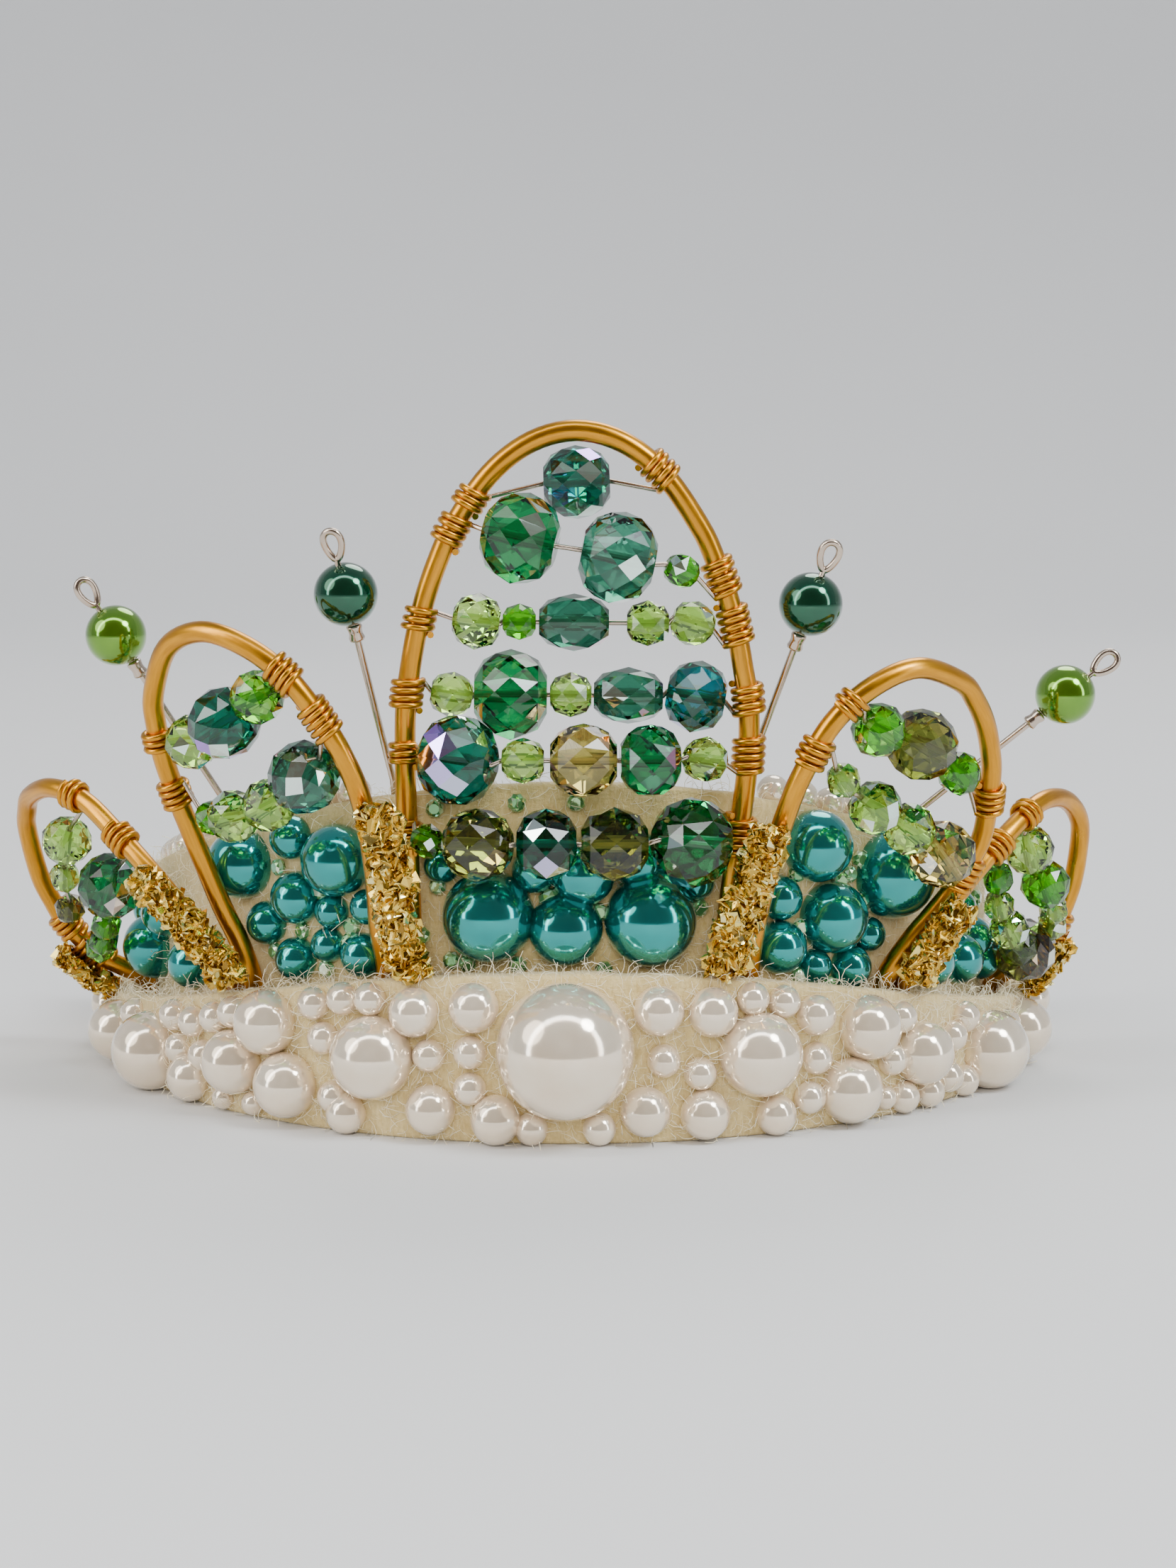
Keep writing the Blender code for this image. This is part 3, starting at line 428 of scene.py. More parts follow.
WALL_MAIN_PEARLS = {
    "teal_front_left": (-9.2, 0.29, 10), "teal_front_right": (9.7, 0.27, 10),
    "teal_front_middle": (-0.2, 0.21, 8), "teal_left_high": (-44, 0.77, 8),
    "teal_left_inner": (-28.6, 0.68, 8), "teal_left_outer": (-71.6, 0.34, 8),
    "teal_right_high": (31.2, 0.78, 8), "teal_right_outer": (43.4, 0.7, 10),
    "teal_right_low": (33.6, 0.38, 8),
}
WITH_LACQUER = 1.09 * MM


def on_wall(angle, share):
    low = band_top(angle)
    return low + share * (wall_top(angle) - low)


def wall_pearl(angle, share, wide):
    return glued_pearl(angle, WALL_RADIUS, on_wall(angle, share), wide * WITH_LACQUER)


pearl_teal = pearl_finish("pearl_teal", (0.0, 0.21, 0.21), (0.0, 0.39, 0.365), 0.85)
set_pearls("wall_pearls", [wall_pearl(*pearl) for pearl in WALL_PEARLS], pearl_teal, "teal_wall")
for node, pearl in WALL_MAIN_PEARLS.items():
    set_pearls(node + "_bead", [wall_pearl(*pearl)], pearl_teal, node, 48, 32)


# Rim pearls: a single line of small ivory pearls glued behind the wall, so that half of each shows
# over its rim.
RIM_RUNS = ((-84, -53), (-46, -26), (27, 47))
RIM_PEARL = 4 * MM
RIM_PITCH = 4.2 * MM
RIM_RISE = 0.9 * MM
RIM_RADIUS = WALL_RADIUS - WALL_FELT - 0.4 * MM
rim_line = []
step = degrees(RIM_PITCH / RIM_RADIUS)
for first, last in RIM_RUNS:
    for number in range(int((last - first) / step) + 1):
        angle = first + number * step
        rim_line.append((place(angle, RIM_RADIUS, wall_top(angle) + RIM_RISE), RIM_PEARL, outward(angle)))
set_pearls("rim_pearls", rim_line, pearl_ivory, "teal_wall", 24, 14, WHOLE_BALL)


# Seed crystals: tiny foil-backed stones, pale green and grass green, set in the gaps between the pearls.
SEED_WIDTH = 2.3 * MM
SEEDS = (
    (-37.9, 0.7), (-34.1, 0.3), (-30.5, 0.06), (-26.8, 0.29), (-15.8, 0.9), (-15.5, 0.47), (-14.2, 0.97),
    (-13.8, 0.05), (-5.9, 0.9), (-5.8, 0.01), (1, 0.9), (3.7, 0.3), (4.3, -0.02), (6.9, 0.43),
    (15.8, 0.35),
    (29, 0.01), (33.6, -0.02), (36.6, 0.65), (38.3, 0.75), (52.7, -0.16), (67.9, 0.69), (-11.9, 0.03),
    (12.4, 0.62), (-31.4, 0.52), (-27.2, 0.2), (24.4, 0.6), (29.2, 0.3), (38.4, 0.5), (-67.8, 0.72),
    (-17.6, 0.2), (-13.6, 0.62), (-5.2, 0.32), (5, 0.62), (-1.2, 0.72), (11.8, 0.82), (-8.4, 0.66),
    (-38.6, 0.2), (-32.4, 0.72), (-24.6, 0.62), (28.6, 0.6), (35, 0.6), (58.2, 0.36), (63.4, 0.42),
)
FOIL_STONE = (-1.8, 0.36, 3.4)
STONE_SIDES = 8


def foil_stone(bm, centre, axis, wide, layer, seed):
    """A round stone: a flat table, star facets and a girdle that sinks into the glue."""
    turn = axis.to_track_quat("Z", "Y").to_matrix().to_4x4()
    rings = []
    for radius, height, half in ((0.27, 0.3, 0.5), (0.42, 0.19, 0.0), (0.5, 0.0, 0.5), (0.4, -0.2, 0.0)):
        ring = []
        for side in range(STONE_SIDES):
            around = tau * (side + half) / STONE_SIDES
            spot = Vector((radius * cos(around), radius * sin(around), height)) * wide
            ring.append(bm.verts.new(centre + turn @ spot))
        rings.append((ring, half))
    faces = [bm.faces.new(rings[0][0]), bm.faces.new(list(reversed(rings[-1][0])))]
    for (upper, half), (lower, _) in zip(rings, rings[1:]):
        shift = 1 if half else 0
        for side in range(STONE_SIDES):
            after = (side + 1) % STONE_SIDES
            faces.append(bm.faces.new((upper[side], lower[(side + shift) % STONE_SIDES], upper[after])))
            faces.append(bm.faces.new((lower[side], lower[after], upper[(side + 1 - shift) % STONE_SIDES])))
    dice = random.Random(seed)
    for face in faces:
        face[layer] = dice.random()


seed_green = Finish("seed_green", Roughness=0.05, Metallic=0.55, Coat_Weight=1.0, Coat_Roughness=0.02)
seed_green.set(Base_Color=seed_green.ramp(
    seed_green.attribute("facet"), (0.0, (0.02, 0.16, 0.05)), (0.35, (0.18, 0.45, 0.16)),
    (0.7, (0.48, 0.72, 0.36)), (1.0, (0.85, 0.95, 0.72))))
bm = bmesh.new()
facet_layer = bm.faces.layers.float.new("facet")
for index, (angle, share) in enumerate(SEEDS):
    spot = place(angle, WALL_RADIUS + 0.5 * MM, on_wall(angle, share))
    foil_stone(bm, spot, outward(angle + (index * 37) % 30 - 15), SEED_WIDTH, facet_layer, index)
spot = place(FOIL_STONE[0], WALL_RADIUS + 0.8 * MM, on_wall(FOIL_STONE[0], FOIL_STONE[1]))
foil_stone(bm, spot, outward(FOIL_STONE[0]), FOIL_STONE[2] * MM, facet_layer, 90)
settle(plain_object("seed_crystals", bm, seed_green, False), "peridot", "teal_wall")


# Arches: five lengths of thick enamelled wire, bent by hand. The legs run down between the two felt layers.
# Each is drawn as a smooth line through its bends, and the wire is swept along it.
ARCH_WIRE = 2.5 * MM
LEG_RADIUS = 57.95 * MM
LEG_FOOT = 2 * MM
CENTRE_FOOT_ANGLE = 18.3
CENTRE_TOP = 82 * MM
CENTRE_SPRING = 45 * MM
CENTRE_HALF_WIDTH = 19.9 * MM
CENTRE_SIDEWAYS = 1.1 * MM
CENTRE_LEAN = 2.5 * MM
LEAN_FROM = 20 * MM
SIDE_ARCHES = {
    "arch_left_outer": (37.8 * MM, 15.5 * MM, (
        (-78, 0.0, 0.05), (-78, 0.0, 0.25), (-78, 0.38, 0.34), (-77.5, 0.66, 0.46), (-76, 0.89, 0.65),
        (-73.5, 0.99, 0.82), (-69, 1.0, 0.955), (-64, 0.92, 1.0), (-59.5, 0.76, 0.97), (-55, 0.62, 0.87),
        (-50.5, 0.5, 0.755), (-48, 0.37, 0.65), (-46, 0.19, 0.51), (-45, 0.0, 0.38), (-45, 0.0, 0.05))),
    "arch_left_mid": (59.4 * MM, 16 * MM, (
        (-41.3, 0.0, 0.04), (-41.5, 0.0, 0.26), (-42.8, 0.22, 0.42), (-43.6, 0.47, 0.585),
        (-43.4, 0.72, 0.74), (-42, 0.88, 0.87), (-38.5, 0.98, 0.965), (-34, 1.0, 1.0),
        (-29.5, 0.96, 0.975), (-25.5, 0.9, 0.915), (-22.5, 0.78, 0.82), (-20.3, 0.63, 0.7),
        (-20.2, 0.4, 0.55), (-21.4, 0.14, 0.41), (-21.7, 0.0, 0.33), (-21.7, 0.0, 0.04))),
    "arch_right_mid": (55.2 * MM, 14.5 * MM, (
        (21.7, 0.0, 0.04), (21.7, 0.0, 0.35), (21.3, 0.16, 0.44), (21.6, 0.46, 0.62), (23, 0.7, 0.78),
        (25.3, 0.84, 0.89), (28.8, 0.95, 0.965), (33.5, 1.0, 1.0), (39, 0.98, 0.965), (43.5, 0.91, 0.87),
        (46.6, 0.79, 0.745), (47.9, 0.65, 0.62), (46.8, 0.42, 0.49), (43.4, 0.16, 0.37), (41.5, 0.0, 0.28),
        (41.5, 0.0, 0.04))),
    "arch_right_outer": (35.8 * MM, 11.3 * MM, (
        (44.9, 0.0, 0.05), (44.9, 0.0, 0.41), (46.4, 0.15, 0.54), (49.4, 0.32, 0.68), (52.8, 0.5, 0.81),
        (57.5, 0.64, 0.92), (63, 0.77, 1.0), (68.5, 0.9, 0.99), (72.5, 1.0, 0.9), (75, 0.97, 0.77),
        (76, 0.88, 0.62), (76.2, 0.68, 0.47), (76, 0.36, 0.36), (76, 0.0, 0.26), (76, 0.0, 0.05))),
}


def smooth_line(points, spacing):
    """Points about one spacing apart on a smooth curve through the given ones."""
    ends = [points[0] * 2 - points[1]] + list(points) + [points[-1] * 2 - points[-2]]
    line = [points[0]]
    for a, b, c, d in zip(ends, ends[1:], ends[2:], ends[3:]):
        count = max(round((c - b).length / spacing), 1)
        for step in range(1, count + 1):
            t = step / count
            line.append(0.5 * (2 * b + (c - a) * t + (2 * a - 5 * b + 4 * c - d) * t * t
                               + (3 * b - a - 3 * c + d) * t * t * t))
    return line


class Line:
    """A route with the distance of each of its points from the start."""

    def __init__(self, points):
        self.points = points
        self.reach = [0.0]
        for a, b in zip(points, points[1:]):
            self.reach.append(self.reach[-1] + (b - a).length)

    def at(self, distance):
        distance = min(max(distance, 0.0), self.reach[-1])
        for index in range(1, len(self.points)):
            if self.reach[index] >= distance:
                part = (distance - self.reach[index - 1]) / (self.reach[index] - self.reach[index - 1])
                return self.points[index - 1].lerp(self.points[index], part)
        return self.points[-1]

    def along(self, distance):
        return (self.at(distance + 0.5 * MM) - self.at(distance - 0.5 * MM)).normalized()

    def on_leg(self, leg, height):
        """How far along the line its first or last leg passes a height."""
        points = self.points
        summit = max(range(len(points)), key=lambda index: points[index].z)
        steps = range(1, summit + 1) if leg == "first" else range(len(points) - 1, summit, -1)
        for index in steps:
            low, high = sorted((points[index - 1].z, points[index].z))
            if low <= height <= high:
                part = (height - points[index - 1].z) / (points[index].z - points[index - 1].z)
                return self.reach[index - 1] + part * (self.reach[index] - self.reach[index - 1])
        return self.reach[summit]


def centre_place(across, height, forward=0.0):
    chord = LEG_RADIUS * cos(radians(CENTRE_FOOT_ANGLE))
    lean = CENTRE_LEAN * max(height - LEAN_FROM, 0.0) / (CENTRE_TOP - LEAN_FROM)
    return Vector((across, AXIS_Y - chord - lean - forward, height))


def side_place(arch, angle, lean_share, height_share):
    top, lean, _ = SIDE_ARCHES[arch]
    return place(angle, LEG_RADIUS + lean * lean_share, top * height_share)


leg_x = LEG_RADIUS * sin(radians(CENTRE_FOOT_ANGLE))
crown = []
for turn in range(180, -1, -15):
    x = CENTRE_SIDEWAYS + CENTRE_HALF_WIDTH * cos(radians(turn))
    z = CENTRE_SPRING + (CENTRE_TOP - CENTRE_SPRING) * sin(radians(turn))
    crown.append(centre_place(x, z))
centre_bends = [centre_place(-leg_x, LEG_FOOT), centre_place(-leg_x, LEAN_FROM)] + crown
centre_bends += [centre_place(leg_x, LEAN_FROM), centre_place(leg_x, LEG_FOOT)]
arches = {"arch_centre": Line(smooth_line(smooth_line(centre_bends, 5 * MM), 1 * MM))}
for arch, (_, _, stations) in SIDE_ARCHES.items():
    coarse = smooth_line([side_place(arch, *station) for station in stations], 5 * MM)
    arches[arch] = Line(smooth_line(coarse, 1 * MM))

wires = Recipe("drawn_wire", Sides="Int")
drawn = wires.node("GeometryNodeMeshToCurve", {"Mesh": wires.given["Geometry"]})
length_along = wires.node("GeometryNodeSplineParameter")["Length"]
marked = wires.node("GeometryNodeStoreNamedAttribute", {
    "Geometry": drawn, "Name": "along", "Value": length_along})
profile = wires.node("GeometryNodeCurvePrimitiveCircle", {
    "Resolution": wires.given["Sides"], "Radius": 1.0})
turned = wires.node("GeometryNodeStoreNamedAttribute", {
    "Geometry": profile, "Name": "round", "Value": wires.node("GeometryNodeInputPosition")})
thickness = wires.node("GeometryNodeInputNamedAttribute", {"Name": "thick"})
wires.done(wires.node("GeometryNodeCurveToMesh", {
    "Curve": marked, "Profile Curve": turned, "Scale": thickness, "Fill Caps": True}))


def run_wires(name, routes, sides, finish, node, slot=None):
    """One piece of wire from (points, width) pairs. A width is one number, or one for each point."""
    points, edges, radii = [], [], []
    for route, wide in routes:
        first = len(points)
        points += route
        edges += [(first + index, first + index + 1) for index in range(len(route) - 1)]
        radii += [(wide[index] if isinstance(wide, list) else wide) / 2 for index in range(len(route))]
    mesh = bpy.data.meshes.new("routes")
    mesh.from_pydata(points, edges, [])
    mesh.attributes.new("thick", "FLOAT", "POINT").data.foreach_set("value", radii)
    settle(wires.make(name, mesh, Sides=sides, Material=finish.material), slot or finish.name, node)


def wire_finish(name, dark, light, rough):
    """Drawn wire: streaks and rubbed spots that run along it."""
    made = Finish(name, Metallic=1.0, Coat_Weight=0.25, Coat_Roughness=0.12)
    where = made.node("ShaderNodeCombineXYZ", [
        made.attribute("along") * 60, made.attribute("round") * 2.2, 0.0])
    streak = made.node("ShaderNodeTexNoise", {
        "Vector": where, "Scale": 3.0, "Detail": 5.0, "Roughness": 0.6})
    rub = made.grain(320, 4, None, 0.65)
    made.set(Base_Color=made.mix(streak * 1.3 - 0.1, dark, light), Roughness=rough + 0.22 * rub)
    made.bump(streak + 0.5 * rub, 0.05 * MM, 0.5)
    return made


wire_gold = wire_finish("wire_gold", (0.42, 0.155, 0.002), (0.86, 0.4, 0.02), 0.2)
wire_silver = wire_finish("wire_silver", (0.42, 0.32, 0.25), (0.74, 0.62, 0.5), 0.08)
for arch, line in arches.items():
    run_wires(arch + "_wire", [(line.points, ARCH_WIRE)], 16, wire_gold, arch)


# Rows and strings: crystals threaded on silvery wire between the legs of an arch. Each end is held by
# gold wire wound round the leg. Every crystal is drilled glass, cut in rhombs round its girdle, with
# kites and triangles towards both ends.
WOUND_WIRE = 0.8 * MM
THREAD_WIRE = 0.6 * MM
TURN_PITCH = 0.9 * MM
WINDING_STEPS = 14
CRYSTAL = {
    "giant": (10.6, 8.4, 10), "large": (8.6, 7.6, 9), "thick": (8.6, 6.8, 8), "barrel": (6.8, 8.0, 7),
    "middle": (6.6, 5.4, 8), "small": (5.4, 4.8, 7), "tiny": (4.2, 3.8, 6),
}
MAIN_STONES = ("giant", "large", "thick", "barrel")
BORE = 0.5 * MM
ROW_FLATNESS = 6
CENTRE_ROWS = {
    "row_top": (74.2, 77.6, -2.8, (
        (0.0, 0.0, "large", "teal"),)),
    "row_high": (70.6, 65.4, 2.8, (
        (-0.32, 0.06, "giant", "emerald"), (0.235, 0.03, "giant", "smoke"), (0.6, 0.0, "tiny", "grass"))),
    "row_third": (60.4, 60.0, 0.8, (
        (-0.575, 0.0, "middle", "peridot"), (-0.33, 0.0, "tiny", "grass"), (-0.015, 0.0, "barrel", "smoke"),
        (0.41, 0.0, "small", "peridot"), (0.67, 0.0, "small", "peridot"))),
    "row_fourth": (51.8, 51.4, -1.2, (
        (-0.73, 0.0, "small", "peridot"), (-0.385, 0.0, "giant", "emerald"),
        (-0.035, 0.0, "small", "peridot"), (0.3, 0.0, "barrel", "smoke"), (0.695, 0.0, "thick", "teal"))),
    "row_fifth": (44.8, 44.8, 6.2, (
        (-0.68, 0.0, "giant", "teal"), (-0.305, 0.0, "small", "peridot"), (0.04, 0.0, "large", "amber"),
        (0.42, 0.0, "thick", "emerald"), (0.735, 0.0, "small", "peridot"))),
    "row_lowest": (35.2, 35.4, 7.4, (
        (-0.86, 0.0, "tiny", "grass"), (-0.565, 0.0, "large", "olive"), (-0.17, 0.0, "thick", "teal"),
        (0.215, 0.0, "large", "olive"), (0.66, 0.0, "giant", "emerald"))),
}
SIDE_STRINGS = {
    "string_left_mid_high": ("arch_left_mid", ("first", 0.775), ("last", 0.925), (
        (-38.9, 0.73, 0.775, "middle", "peridot"), (-34.2, 0.76, 0.82, "large", "teal"),
        (-29.8, 0.8, 0.875, "middle", "grass"))),
    "string_left_mid_low": ("arch_left_mid", ("first", 0.665), ("last", 0.84), (
        (-40.2, 0.46, 0.615, "tiny", "grass"), (-36.4, 0.5, 0.625, "middle", "peridot"),
        (-31.6, 0.51, 0.655, "middle", "peridot"), (-26.2, 0.62, 0.72, "large", "smoke"))),
    "string_right_mid_high": ("arch_right_mid", ("first", 0.93), ("last", 0.7), (
        (30.8, 0.8, 0.87, "middle", "grass"), (36.8, 0.74, 0.83, "large", "olive"),
        (42.4, 0.73, 0.76, "small", "grass"))),
    "string_right_mid_low": ("arch_right_mid", ("first", 0.83), ("last", 0.53), (
        (28, 0.66, 0.765, "tiny", "peridot"), (32.2, 0.62, 0.7, "middle", "peridot"),
        (37.2, 0.58, 0.645, "middle", "peridot"), (42.4, 0.56, 0.58, "thick", "amber"))),
    "string_left_outer_far": ("arch_left_outer", ("last", 0.985), ("first", 0.46), (
        (-66, 0.76, 0.81, "middle", "peridot"), (-70.4, 0.72, 0.665, "tiny", "peridot"),
        (-73, 0.66, 0.54, "tiny", "olive"))),
    "string_left_outer_near": ("arch_left_outer", ("last", 0.86), ("first", 0.36), (
        (-61.4, 0.5, 0.67, "large", "emerald"), (-66.6, 0.44, 0.51, "tiny", "grass"),
        (-69.6, 0.42, 0.44, "tiny", "grass"), (-72.6, 0.42, 0.4, "tiny", "grass"))),
    "string_right_outer_far": ("arch_right_outer", ("first", 0.965), ("last", 0.5), (
        (62.5, 0.66, 0.83, "middle", "peridot"), (66.6, 0.74, 0.69, "middle", "grass"),
        (70.2, 0.76, 0.58, "tiny", "peridot"), (72.2, 0.72, 0.51, "tiny", "peridot"))),
    "string_right_outer_near": ("arch_right_outer", ("first", 0.87), ("last", 0.38), (
        (58.8, 0.44, 0.74, "tiny", "grass"), (61, 0.38, 0.63, "tiny", "peridot"),
        (64.2, 0.4, 0.53, "small", "peridot"), (67.6, 0.42, 0.45, "small", "peridot"),
        (71, 0.42, 0.42, "large", "olive"))),
}


def crystal_finish(name, shade, tint, first_gleam, second_gleam, coated):
    """Cut glass. Each facet has its own tint, the coated share of them mirrors, and the bore is rough."""
    made = Finish(name, Transmission_Weight=1.0, IOR=1.58)
    lot = made.attribute("facet")
    drilled = made.attribute("bore")
    plain = 1.0 - coated
    facets = made.ramp(lot, (0.0, shade), (plain * 0.96, tint), (plain, first_gleam),
                       (plain + 0.6 * coated, second_gleam), (1.0, (0.9, 0.96, 0.92)))
    made.set(Base_Color=made.mix(drilled, facets, tuple(0.55 + 0.45 * part for part in tint)))
    made.set(Metallic=(lot > plain) * 0.9 + drilled * 0.45, Roughness=0.01 + 0.45 * drilled)
    return made


VIOLET = (0.5, 0.22, 0.95)
PINK = (1, 0.42, 0.66)
ORANGE = (1, 0.5, 0.12)
PALE = (0.8, 1.0, 0.9)
crystal_finishes = {colour: crystal_finish("crystal_" + colour, *look) for colour, look in {
    "teal": ((0.0, 0.05, 0.028), (0.0, 0.2, 0.115), VIOLET, PALE, 0.12),
    "emerald": ((0.0, 0.08, 0.015), (0.005, 0.28, 0.075), PINK, PALE, 0.12),
    "peridot": ((0.24, 0.52, 0.045), (0.58, 0.84, 0.2), PALE, PALE, 0.05),
    "grass": ((0.02, 0.28, 0.0), (0.12, 0.58, 0.01), PALE, PALE, 0.05),
    "olive": ((0.06, 0.075, 0.008), (0.22, 0.24, 0.04), ORANGE, PALE, 0.1),
    "amber": ((0.26, 0.2, 0.03), (0.6, 0.52, 0.14), PINK, ORANGE, 0.12),
    "smoke": ((0.006, 0.085, 0.048), (0.05, 0.28, 0.17), PINK, PALE, 0.12),
}.items()}


def crystal(name, centre, axis, size, seed, finish):
    """One drilled and faceted bead."""
    wide, long, sides = CRYSTAL[size]
    radius, half = wide * MM / 2, long * MM / 2
    flat = radius * cos(pi / sides)
    dice = random.Random(seed)
    roll = dice.random()
    turn = axis.to_track_quat("Z", "Y").to_matrix().to_4x4()
    bm = bmesh.new()
    facet = bm.faces.layers.float.new("facet")
    drilled = bm.faces.layers.float.new("bore")

    def ring(at, reach, shift):
        spots = []
        for side in range(sides):
            around = tau * (side + shift + roll) / sides
            spot = Vector((reach * cos(around), reach * sin(around), at))
            spots.append(bm.verts.new(centre + turn @ spot))
        return spots

    girdle = ring(0, radius, 0)
    shoulders = [ring(sign * 0.42 * half, flat * 0.97, 0.5) for sign in (-1, 1)]
    crowns = [ring(sign * 0.76 * half, radius * 0.76, 0) for sign in (-1, 1)]
    tables = [ring(sign * half, radius * 0.44, 0.5) for sign in (-1, 1)]
    mouths = [ring(sign * half, BORE, 0.5) for sign in (-1, 1)]
    faces = []
    for side in range(sides):
        after = (side + 1) % sides
        faces.append((girdle[side], shoulders[0][side], girdle[after], shoulders[1][side]))
        for shoulder, crown, table, mouth in zip(shoulders, crowns, tables, mouths):
            faces.append((girdle[side], shoulder[side], crown[side], shoulder[side - 1]))
            faces.append((crown[side], shoulder[side], crown[after], table[side]))
            faces.append((crown[side], table[side], table[side - 1]))
            faces.append((table[side - 1], table[side], mouth[side], mouth[side - 1]))
    for corners in faces:
        bm.faces.new(corners)[facet] = dice.random()
    for side in range(sides):
        after = (side + 1) % sides
        bm.faces.new((mouths[0][side], mouths[0][after], mouths[1][after], mouths[1][side]))[drilled] = 1.0
    return plain_object(name, bm, finish, False)


def winding(line, mark, towards, turns, seed):
    """Thin wire wound round an arch. It ends on the side that faces the next crystal."""
    dice = random.Random(seed)
    along = line.along(mark)
    face = towards - line.at(mark)
    face = (face - along * face.dot(along)).normalized()
    side = along.cross(face)
    reach = ARCH_WIRE / 2 + WOUND_WIRE / 2
    count = round(turns * WINDING_STEPS)
    points = []
    drift = [dice.uniform(-0.12, 0.12) for _ in range(int(turns) + 3)]
    for step in range(count + 1):
        turn = (step - count) / WINDING_STEPS
        spot = mark + (turn + turns / 2 + drift[int(-turn)] * sin(pi * (turn % 1))) * TURN_PITCH
        around = tau * turn
        bulge = reach * (1 + 0.05 * drift[int(-turn) + 1] * (1 + cos(around * 2)))
        points.append(line.at(spot) + (face * cos(around) + side * sin(around)) * bulge)
    return points


def string_up(node, line, marks, beads, turns):
    """Wire and crystals of one string. A bead is (centre, size, finish, node that it stands for)."""
    seed = sum(map(ord, node))
    middles = [bead[0] for bead in beads]
    first = winding(line, marks[0], middles[0], turns[0], seed)
    last = winding(line, marks[1], middles[-1], turns[1], seed + 1)
    stops = [first[-1]] + middles + [last[-1]]
    route = []
    for index, (centre, size, colour, stands_for) in enumerate(beads):
        axis = (stops[index + 2] - stops[index]).normalized()
        half = CRYSTAL[size][1] * MM / 2
        route += [centre - axis * half, centre + axis * half]
        bead = crystal(f"{node}_bead_{index + 1}", centre, axis, size, seed + index, crystal_finishes[colour])
        settle(bead, colour, stands_for)
    thread = [first[-1]] + route + [last[-1]]
    run_wires(node + "_windings", [(first, WOUND_WIRE), (last, WOUND_WIRE)], 8, wire_gold, node)
    run_wires(node + "_thread", [(thread, THREAD_WIRE)], 8, wire_silver, node)


centre_line = arches["arch_centre"]
for number, (node, (left, right, bow, beads)) in enumerate(CENTRE_ROWS.items()):
    marks = (centre_line.on_leg("first", left * MM), centre_line.on_leg("last", right * MM))
    start, end = (centre_line.at(mark) for mark in marks)
    hung = []
    for index, (across, rise, size, colour) in enumerate(beads):
        x = CENTRE_SIDEWAYS + across * CENTRE_HALF_WIDTH
        between = (x - start.x) / (end.x - start.x)
        z = (left + (right - left) * between + rise * CRYSTAL["giant"][0]) * MM
        forward = bow * MM * (1 - (2 * between - 1) ** ROW_FLATNESS)
        stands_for = f"{node}_stone_{index + 1}" if size in MAIN_STONES else node
        hung.append((centre_place(x, z, forward), size, colour, stands_for))
    string_up(node, centre_line, marks, hung, (3.0 + number % 2, 4.0 + number % 3 * 0.5))
for number, (node, (arch, first_end, last_end, beads)) in enumerate(SIDE_STRINGS.items()):
    line = arches[arch]
    top = SIDE_ARCHES[arch][0]
    marks = [line.on_leg(leg, share * top) for leg, share in (first_end, last_end)]
    hung = [(side_place(arch, angle, lean, height), size, colour, node)
            for angle, lean, height, size, colour in beads]
    string_up(node, line, marks, hung, (2.5 + number % 2, 4.0 + number % 2))


# Crusts: crushed gold chips heaped in clear glue over the legs where they come out of the felt.
# The chips are flat, sharp flakes that lie at all angles over a lump of the same gold grit.
CHIP_KINDS = 7
CHIP_CORNERS = 9
CHIP_SIZE = 1.8 * MM
CORE_SHARE = 0.94
CRUST_FITS = {
    "chips_front_left": (0.0, 0.0, 0.13, 1.0),
    "chips_front_right": (0.0, 0.0, -0.12, 1.0),
    "chips_left": (2.6, 1.0, 0.0, 1.0),
    "chips_right": (-3.4, 1.4, 0.0, 1.0),
    "chips_far_right": (0.0, 0.0, 0.0, 0.62),
}
chip_box = bpy.data.collections.new("loose_chips")
dice = random.Random(4)
for number in range(CHIP_KINDS):
    bm = bmesh.new()
    for _ in range(CHIP_CORNERS):
        around = dice.uniform(0, tau)
        x = cos(around) * dice.uniform(0.3, 0.5)
        y = sin(around) * dice.uniform(0.25, 0.5)
        bm.verts.new((x, y, dice.uniform(-0.09, 0.09)))
    hull = bmesh.ops.convex_hull(bm, input=bm.verts)
    inside = [item for item in hull["geom_interior"] if isinstance(item, bmesh.types.BMVert)]
    bmesh.ops.delete(bm, geom=inside, context="VERTS")
    facet_layer = bm.faces.layers.float.new("facet")
    for face in bm.faces:
        face[facet_layer] = dice.random()
    mesh = bpy.data.meshes.new(f"chip_{number}")
    bm.to_mesh(mesh)
    bm.free()
    chip_box.objects.link(bpy.data.objects.new(mesh.name, mesh))

heaps = Recipe("gold_chips", Density="Float", Size="Float", Seed="Int", Chips="Collection")
kinds = heaps.node("GeometryNodeCollectionInfo", {
    "Collection": heaps.given["Chips"], "Separate Children": True, "Reset Children": True})
chips = heaps.strew(kinds, 1.2, (0.45, 1.6), (2, 6), True)
together = heaps.node("GeometryNodeJoinGeometry")
for part in (chips, heaps.given["Geometry"]):
    heaps.tree.links.new(part.socket, together.socket.node.inputs[0])
heaps.done(together, False)

chips_gold = Finish("chips_gold", Metallic=1.0, Coat_Weight=0.6, Coat_Roughness=0.05)
grit = chips_gold.grain(1500, 3)
chips_gold.set(Base_Color=chips_gold.ramp(
    chips_gold.attribute("facet"), (0.0, (0.34, 0.18, 0.012)), (0.4, (0.8, 0.52, 0.06)),
    (0.8, (0.96, 0.74, 0.16)), (1.0, (1, 0.92, 0.46))))
chips_gold.set(Roughness=0.12 + 0.25 * grit)
chips_gold.bump(grit, 0.06 * MM, 0.5)


